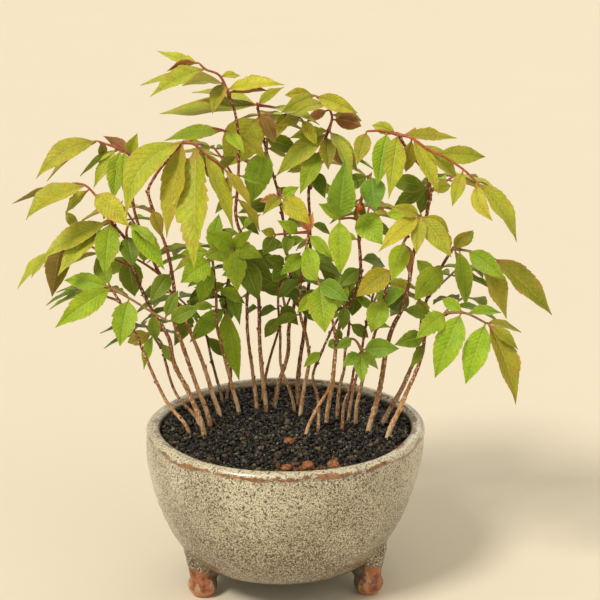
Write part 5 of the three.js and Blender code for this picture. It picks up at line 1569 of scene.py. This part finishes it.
def add_leaflet(shells, blade, look, draw):
    """One leaflet with its own thin stalk, of two faces that share their margin."""
    top_colour, under_colour, brown = LEAF_LOOKS[look.lower()]
    chord, side, face, bend = (np.array(v) for v in blade_axes(blade))
    base = np.array(blade["base"])
    length = np.linalg.norm(chord)
    stations, cuts = blade_rows(length, look.isupper(), draw)

    # s runs along the whole leaflet, and u along its blade, below 0 on the thin stalk
    start = min(PETIOLULE / length, PETIOLULE_MOST)
    s = np.concatenate([[0.0, start * 0.6], start + (1 - start) * stations])
    u = np.concatenate([[-1.0, -0.5], stations])
    cuts = np.concatenate([np.zeros((2, 2)), cuts])
    wide = blade_width(np.maximum(u, 0), length / blade["width"])
    half = np.maximum(wide * blade["width"] / 2, np.where(u < 0.05, PETIOLULE_RADIUS, MARGIN_LEAST))
    fade = np.sin(np.pi * np.clip(u, 0, 1)) ** TOOTH_FADE
    halves = half[:, None] * (1 + cuts * fade[:, None])

    fold = BLADE_FOLD + draw.uniform(*FOLD_CHANGES)
    waves = []
    for _ in range(2):
        waves.append((draw.uniform(*WAVE_SIZES), draw.uniform(*WAVE_COUNTS), draw.uniform(0, math.tau)))
    twist = draw.uniform(*TWISTS)
    phase = draw.uniform(0, 1)
    t = COLUMNS
    edge = np.abs(t)
    rows, columns = len(s), len(t)
    grid = np.zeros((rows, columns, 3))
    for i in range(rows):
        angle = twist * (max(u[i], 0) - TWIST_MIDDLE)
        out = side * math.cos(angle) + face * math.sin(angle)
        up = face * math.cos(angle) - side * math.sin(angle)
        middle = base + chord * s[i] + bend * (4 * s[i] * (1 - s[i]))
        reach = np.where(t < 0, halves[i, 0], halves[i, 1])
        ripple = [a * math.sin(math.tau * f * u[i] + p) for a, f, p in waves]
        wave = np.where(t < 0, ripple[0], ripple[1]) * edge**2
        veins = np.cos(math.tau * (VEINS * u[i] - VEIN_SLANT * edge + phase))
        quilt = QUILT * veins * edge * (1 - edge) * QUILT_FULL
        rise = (fold * edge**FOLD_CURVE + wave) * reach - quilt * min(1.0, max(u[i], 0) * QUILT_START)
        grid[i] = middle + (t * reach)[:, None] * out + rise[:, None] * up
    thick = np.where(u < 0, PETIOLULE_RADIUS, BLADE_HALF)[:, None] * np.sqrt(np.maximum(1 - edge**2, 0))[None]
    thick[-1] *= TIP_THIN
    groove = np.where(u < 0, 0, RIB_GROOVE)[:, None] * (edge < 0.01)[None]
    ridge = (RIB_DEPTH * (1 - np.clip(u, 0, 1)) ** RIB_FADE)[:, None] * band(edge, RIB_WIDTH)[None]
    upper = grid + (thick - groove)[..., None] * face
    lower = grid - (thick + ridge * (u >= 0)[:, None])[..., None] * face

    # The lower face's inner points are numbered after the upper grid
    number = np.arange(rows * columns).reshape(rows, columns)
    inner = (rows - 2) * (columns - 2)
    under = number.copy()
    under[1:-1, 1:-1] = rows * columns + np.arange(inner).reshape(rows - 2, columns - 2)
    upper[0], upper[-1] = grid[0], grid[-1]
    points = np.concatenate([upper.reshape(-1, 3), lower[1:-1, 1:-1].reshape(-1, 3)])
    quads = grid_faces(rows, columns)
    faces = [quads, under.ravel()[quads][:, ::-1]]

    shade = 1 + draw.uniform(*SHADES)
    warm = draw.uniform(*WARMTHS)
    tone = np.array((shade * (1 + warm), shade, shade * (1 - warm)))
    above = np.append(np.array(top_colour) * tone, brown * draw.uniform(*BROWN_CHANGES))
    below = np.append(np.array(under_colour) * tone, brown * UNDER_BROWN)
    tints = np.concatenate([np.tile(above, (rows * columns, 1)), np.tile(below, (inner, 1))])
    across = np.tile(t, (rows, 1))
    along = np.tile(np.clip(u, 0, 1)[:, None], (1, columns))
    places = np.stack([along, across, np.full_like(along, phase)], axis=-1)
    places = np.concatenate([places.reshape(-1, 3), places[1:-1, 1:-1].reshape(-1, 3)])
    shells.add(points, faces, tints, places)


def add_stalk(shells, line, colour, draw):
    """A leaf's stalk, thick at its foot and thin at its end."""
    path, _ = smooth_path(line, STALK_SPACING)
    run = way_along(path)
    radii = STALK_RADIUS + STALK_FOOT * np.exp(-run / STALK_FOOT_REACH) + STALK_TAPER * (1 - run / run[-1])
    radii[-1] *= STALK_END
    tint = (*(np.array(colour) * draw.uniform(*STALK_SHADES)), 1.0)
    shells.add(*tube(path, radii, STALK_SIDES), tint, slot=1)


def add_stem(shells, seedling, number, draw):
    """The stem with its knots and buds. The tint's first value is the height up the stem, its last how dark.

    Gives back where the stem meets the soil, and its radius there.
    """
    dark = 1.0 if number in DARK_STEMS else 0.0 if number in PALE_STEMS else draw.uniform(*STEM_DARKNESS)
    shown = [seen(point) for point in seedling["stem"]]
    root = shown[0].copy()
    root.z = SOIL_EDGE - ROOT_DEPTH
    tip = shown[-1] + (shown[-1] - shown[-2]).normalized() * STEM_TIP
    control = [root, *shown, tip]
    foot, top = (thick / 2 for thick in seedling["thick"])
    path, shares = smooth_path(control, STEM_SPACING)
    radii = top + (foot - top) * (1 - shares / (len(control) - 1)) ** STEM_TAPER
    height = path[:, 2] - SOIL_EDGE
    run = way_along(path)
    angles = np.arange(STEM_SIDES) * math.tau / STEM_SIDES
    flare = 1 + STEM_FOOT * np.exp(-np.maximum(height, 0) / STEM_FOOT_REACH)
    around = np.full((len(path), STEM_SIDES), STEM_WIDTH) * flare[:, None]
    for i in range(len(path)):
        for k, angle in enumerate(angles):
            spot = Vector((math.cos(angle), math.sin(angle), run[i] * LUMP_STRETCH + number * LUMP_SEED))
            around[i, k] += sum(size * noise.noise(spot * scale) for size, scale in STEM_LUMPS)
    knots = []
    knot = run[-1] - draw.uniform(*KNOT_FIRST)
    while knot > ROOT_DEPTH + KNOT_LOWEST:
        way = draw.uniform(0, math.tau)
        swell = draw.uniform(*KNOT_SWELLS)
        one_sided = KNOT_ALL_ROUND + KNOT_ONE_SIDE * np.cos(angles - way)
        around += swell * band(run - knot, draw.uniform(*KNOT_WIDTHS))[:, None] * one_sided[None]
        knots.append((knot, way))
        knot -= draw.uniform(*KNOT_PITCHES)
    around[-2:] *= np.array(STEM_ENDS)[:, None]
    level = np.clip(height / min(max(height[-1], 1.0), BARK_HEIGHT), 0, 1)
    level = np.concatenate([np.repeat(level, STEM_SIDES), level[:1], level[-1:]])
    tints = np.stack([level, level, level, np.full_like(level, dark)], axis=1)
    shells.add(*tube(path, radii[:, None] * around, STEM_SIDES), tints)

    # A small pointed bud at every other knot
    for place, way in knots[::2]:
        i = int(np.searchsorted(run, place))
        forward = unit(path[min(i + 1, len(path) - 1)] - path[i - 1])
        out = np.array((math.cos(way), math.sin(way), 0.0))
        out = unit(out - forward * out.dot(forward))
        begin = path[i] + out * radii[i] * KNOT_BUD_ROOT
        lean = out * KNOT_BUD_OUT + forward * KNOT_BUD_UP
        line = np.array([begin + lean * step for step in KNOT_BUD_STEPS])
        shells.add(*tube(line, KNOT_BUD_RADII, KNOT_BUD_SIDES), (*[KNOT_BUD_LEVEL] * 3, dark))
    return path[np.argmin(np.abs(height))], foot


def add_red_bud(shells, line, across, up):
    """A plump bud in front of the stem, at a seen place."""
    middle = seen(on_line(line, across, up)) - Vector((0, BUD_FORWARD, 0))
    path = np.array([middle + Vector((0, 0, height)) for height in BUD_HEIGHTS])
    shells.add(*tube(path, BUD_RADII, BUD_SIDES), (*BUD_RED, 1.0), slot=1)


def inner_blades(seedling, others, placed, draw):
    """Small leaflets beside the stem and behind it, turn about, which cross no other seedling or leaflet."""
    path, _ = smooth_path([seen(point) for point in seedling["stem"]], 1.0)
    low, high = INNER_HEIGHTS
    deep = (path[:, 1] > INNER_FRONT) & (np.abs(path[:, 0]) < INNER_REACH)
    path = path[deep & (path[:, 2] > low) & (path[:, 2] < high)]
    blades = []
    side = draw.choice((-1, 1))
    for place in path[::INNER_SPACING]:
        base = Vector(place)
        for _ in range(INNER_TRIES):
            turn = side * math.radians(draw.uniform(*INNER_TURNS))
            way = Vector((math.sin(turn), math.cos(turn), -draw.uniform(*INNER_DROPS))).normalized()
            length = draw.uniform(*INNER_LENGTHS)
            blade = small_blade(base, base + way * length, Vector(INNER_FACING), length * INNER_WIDTH)
            points = [Vector(to_metres(point)) for point in (base, *solid_outline(blade))]
            flat = BVHTree.FromPolygons(points, FLAT_FACES)
            if not any(flat.overlap(other) for other in (*others, *placed)):
                blades.append(blade)
                placed.append(flat)
                break
        side = -side
    return blades


def grow(number, seedling, materials, solids, placed):
    """One seedling: its stem is a piece, and its stalks and leaflets are another. Both stand for its node."""
    node = f"tree_{number:02d}"
    draw = random.Random(number)
    solid = solids[node]
    slot = next(row["material_slot"] for row in frame["record"]["subparts"] if row["node"] == node)
    stalk_colour = STALK_RED if slot == "young_leaf" else STALK_GREEN
    wood = Shells()
    foot, radius = add_stem(wood, seedling, number, draw)
    stands_for(wood.piece(f"{node}_stem", [materials["bark"]]), node)

    leaves = Shells()
    if number in RED_BUDS:
        add_red_bud(leaves, seedling["stem"], *RED_BUDS[number])
    for line, rows, looks in seedling["leaves"]:
        if line:
            add_stalk(leaves, [seen(p) for p in line], stalk_colour, draw)
        for row, look in zip(rows, looks):
            blade = solid.grown([seen_blade(line or seedling["stem"], row, attempt) for attempt in TRIES])
            if blade is not None:
                add_leaflet(leaves, blade, look, random.Random(f"{node} {row}"))
    for line in seedling["rear"]:
        stalk = [seen(p) for p in line]
        add_stalk(leaves, stalk, stalk_colour, draw)
        for blade in rear_blades(stalk):
            choices = [{**blade, "tip": blade["tip"] - Vector((0, 0, drop))} for drop in REAR_DROPS]
            found = solid.grown(choices)
            if found is not None:
                add_leaflet(leaves, found, draw.choice(REAR_LOOKS[slot]), draw)
    own = random.Random(f"{node} inner")
    others = [other.surface for name, other in solids.items() if name != node]
    for blade in inner_blades(seedling, others, placed, own):
        # Leaflets deep in the crown get dark looks as painted shade
        looks = INNER_SUNNY_LOOKS if blade["base"].z > INNER_SUNNY else INNER_SHADE_LOOKS
        add_leaflet(leaves, blade, own.choice(looks), own)
    stands_for(leaves.piece(f"{node}_leaves", [materials["leaf"], materials["stalk"]]), node)
    return foot[0], foot[1], radius


# Scene


def aim(obj, place, target):
    obj.location = place
    obj.rotation_euler = (Vector(target) - Vector(place)).to_track_quat("-Z", "Y").to_euler()


def make_camera():
    camera = bpy.data.cameras.new("camera")
    camera.lens = CAMERA_LENS
    camera.sensor_width = SENSOR
    camera.clip_end = CAMERA_REACH
    holder = linked(bpy.data.objects.new("camera", camera))
    holder.location = CAMERA_PLACE
    holder.rotation_euler = (math.radians(90 - CAMERA_PITCH), 0, 0)
    bpy.context.scene.camera = holder


def make_lights():
    for name, way, strength, width, colour in SUNS:
        sun = bpy.data.lights.new(name, "SUN")
        sun.energy = strength
        sun.angle = math.radians(width)
        sun.color = colour
        aim(linked(bpy.data.objects.new(name, sun)), way, (0.0, 0.0, 0.0))
    world = bpy.data.worlds.new("studio")
    world.use_nodes = True
    background = world.node_tree.nodes["Background"]
    background.inputs["Color"].default_value = (*WORLD_COLOUR, 1.0)
    background.inputs["Strength"].default_value = WORLD_STRENGTH
    bpy.context.scene.world = world
    bpy.context.scene.view_settings.view_transform = "Standard"


def make_floor():
    half = FLOOR_SIDE / 2
    mesh = bpy.data.meshes.new("floor")
    corners = [(-half, -half, 0), (half, -half, 0), (half, half, 0), (-half, half, 0)]
    mesh.from_pydata(corners, [], [(0, 1, 2, 3)])
    mesh.materials.append(floor_material())
    linked(bpy.data.objects.new("floor", mesh))


make_camera()
make_lights()
make_floor()
materials = {"bark": bark_material(), "leaf": leaf_material(), "stalk": stalk_material()}
solids = {node: Solid(node) for node in frame["nodes"] if node.startswith("tree_")}
placed = []
stem_feet = [grow(i, seedling, materials, solids, placed) for i, seedling in enumerate(SEEDLINGS, start=1)]
make_bowl(glaze_material())
make_soil(soil_material(), stem_feet)
make_clay_grains(clay_material())
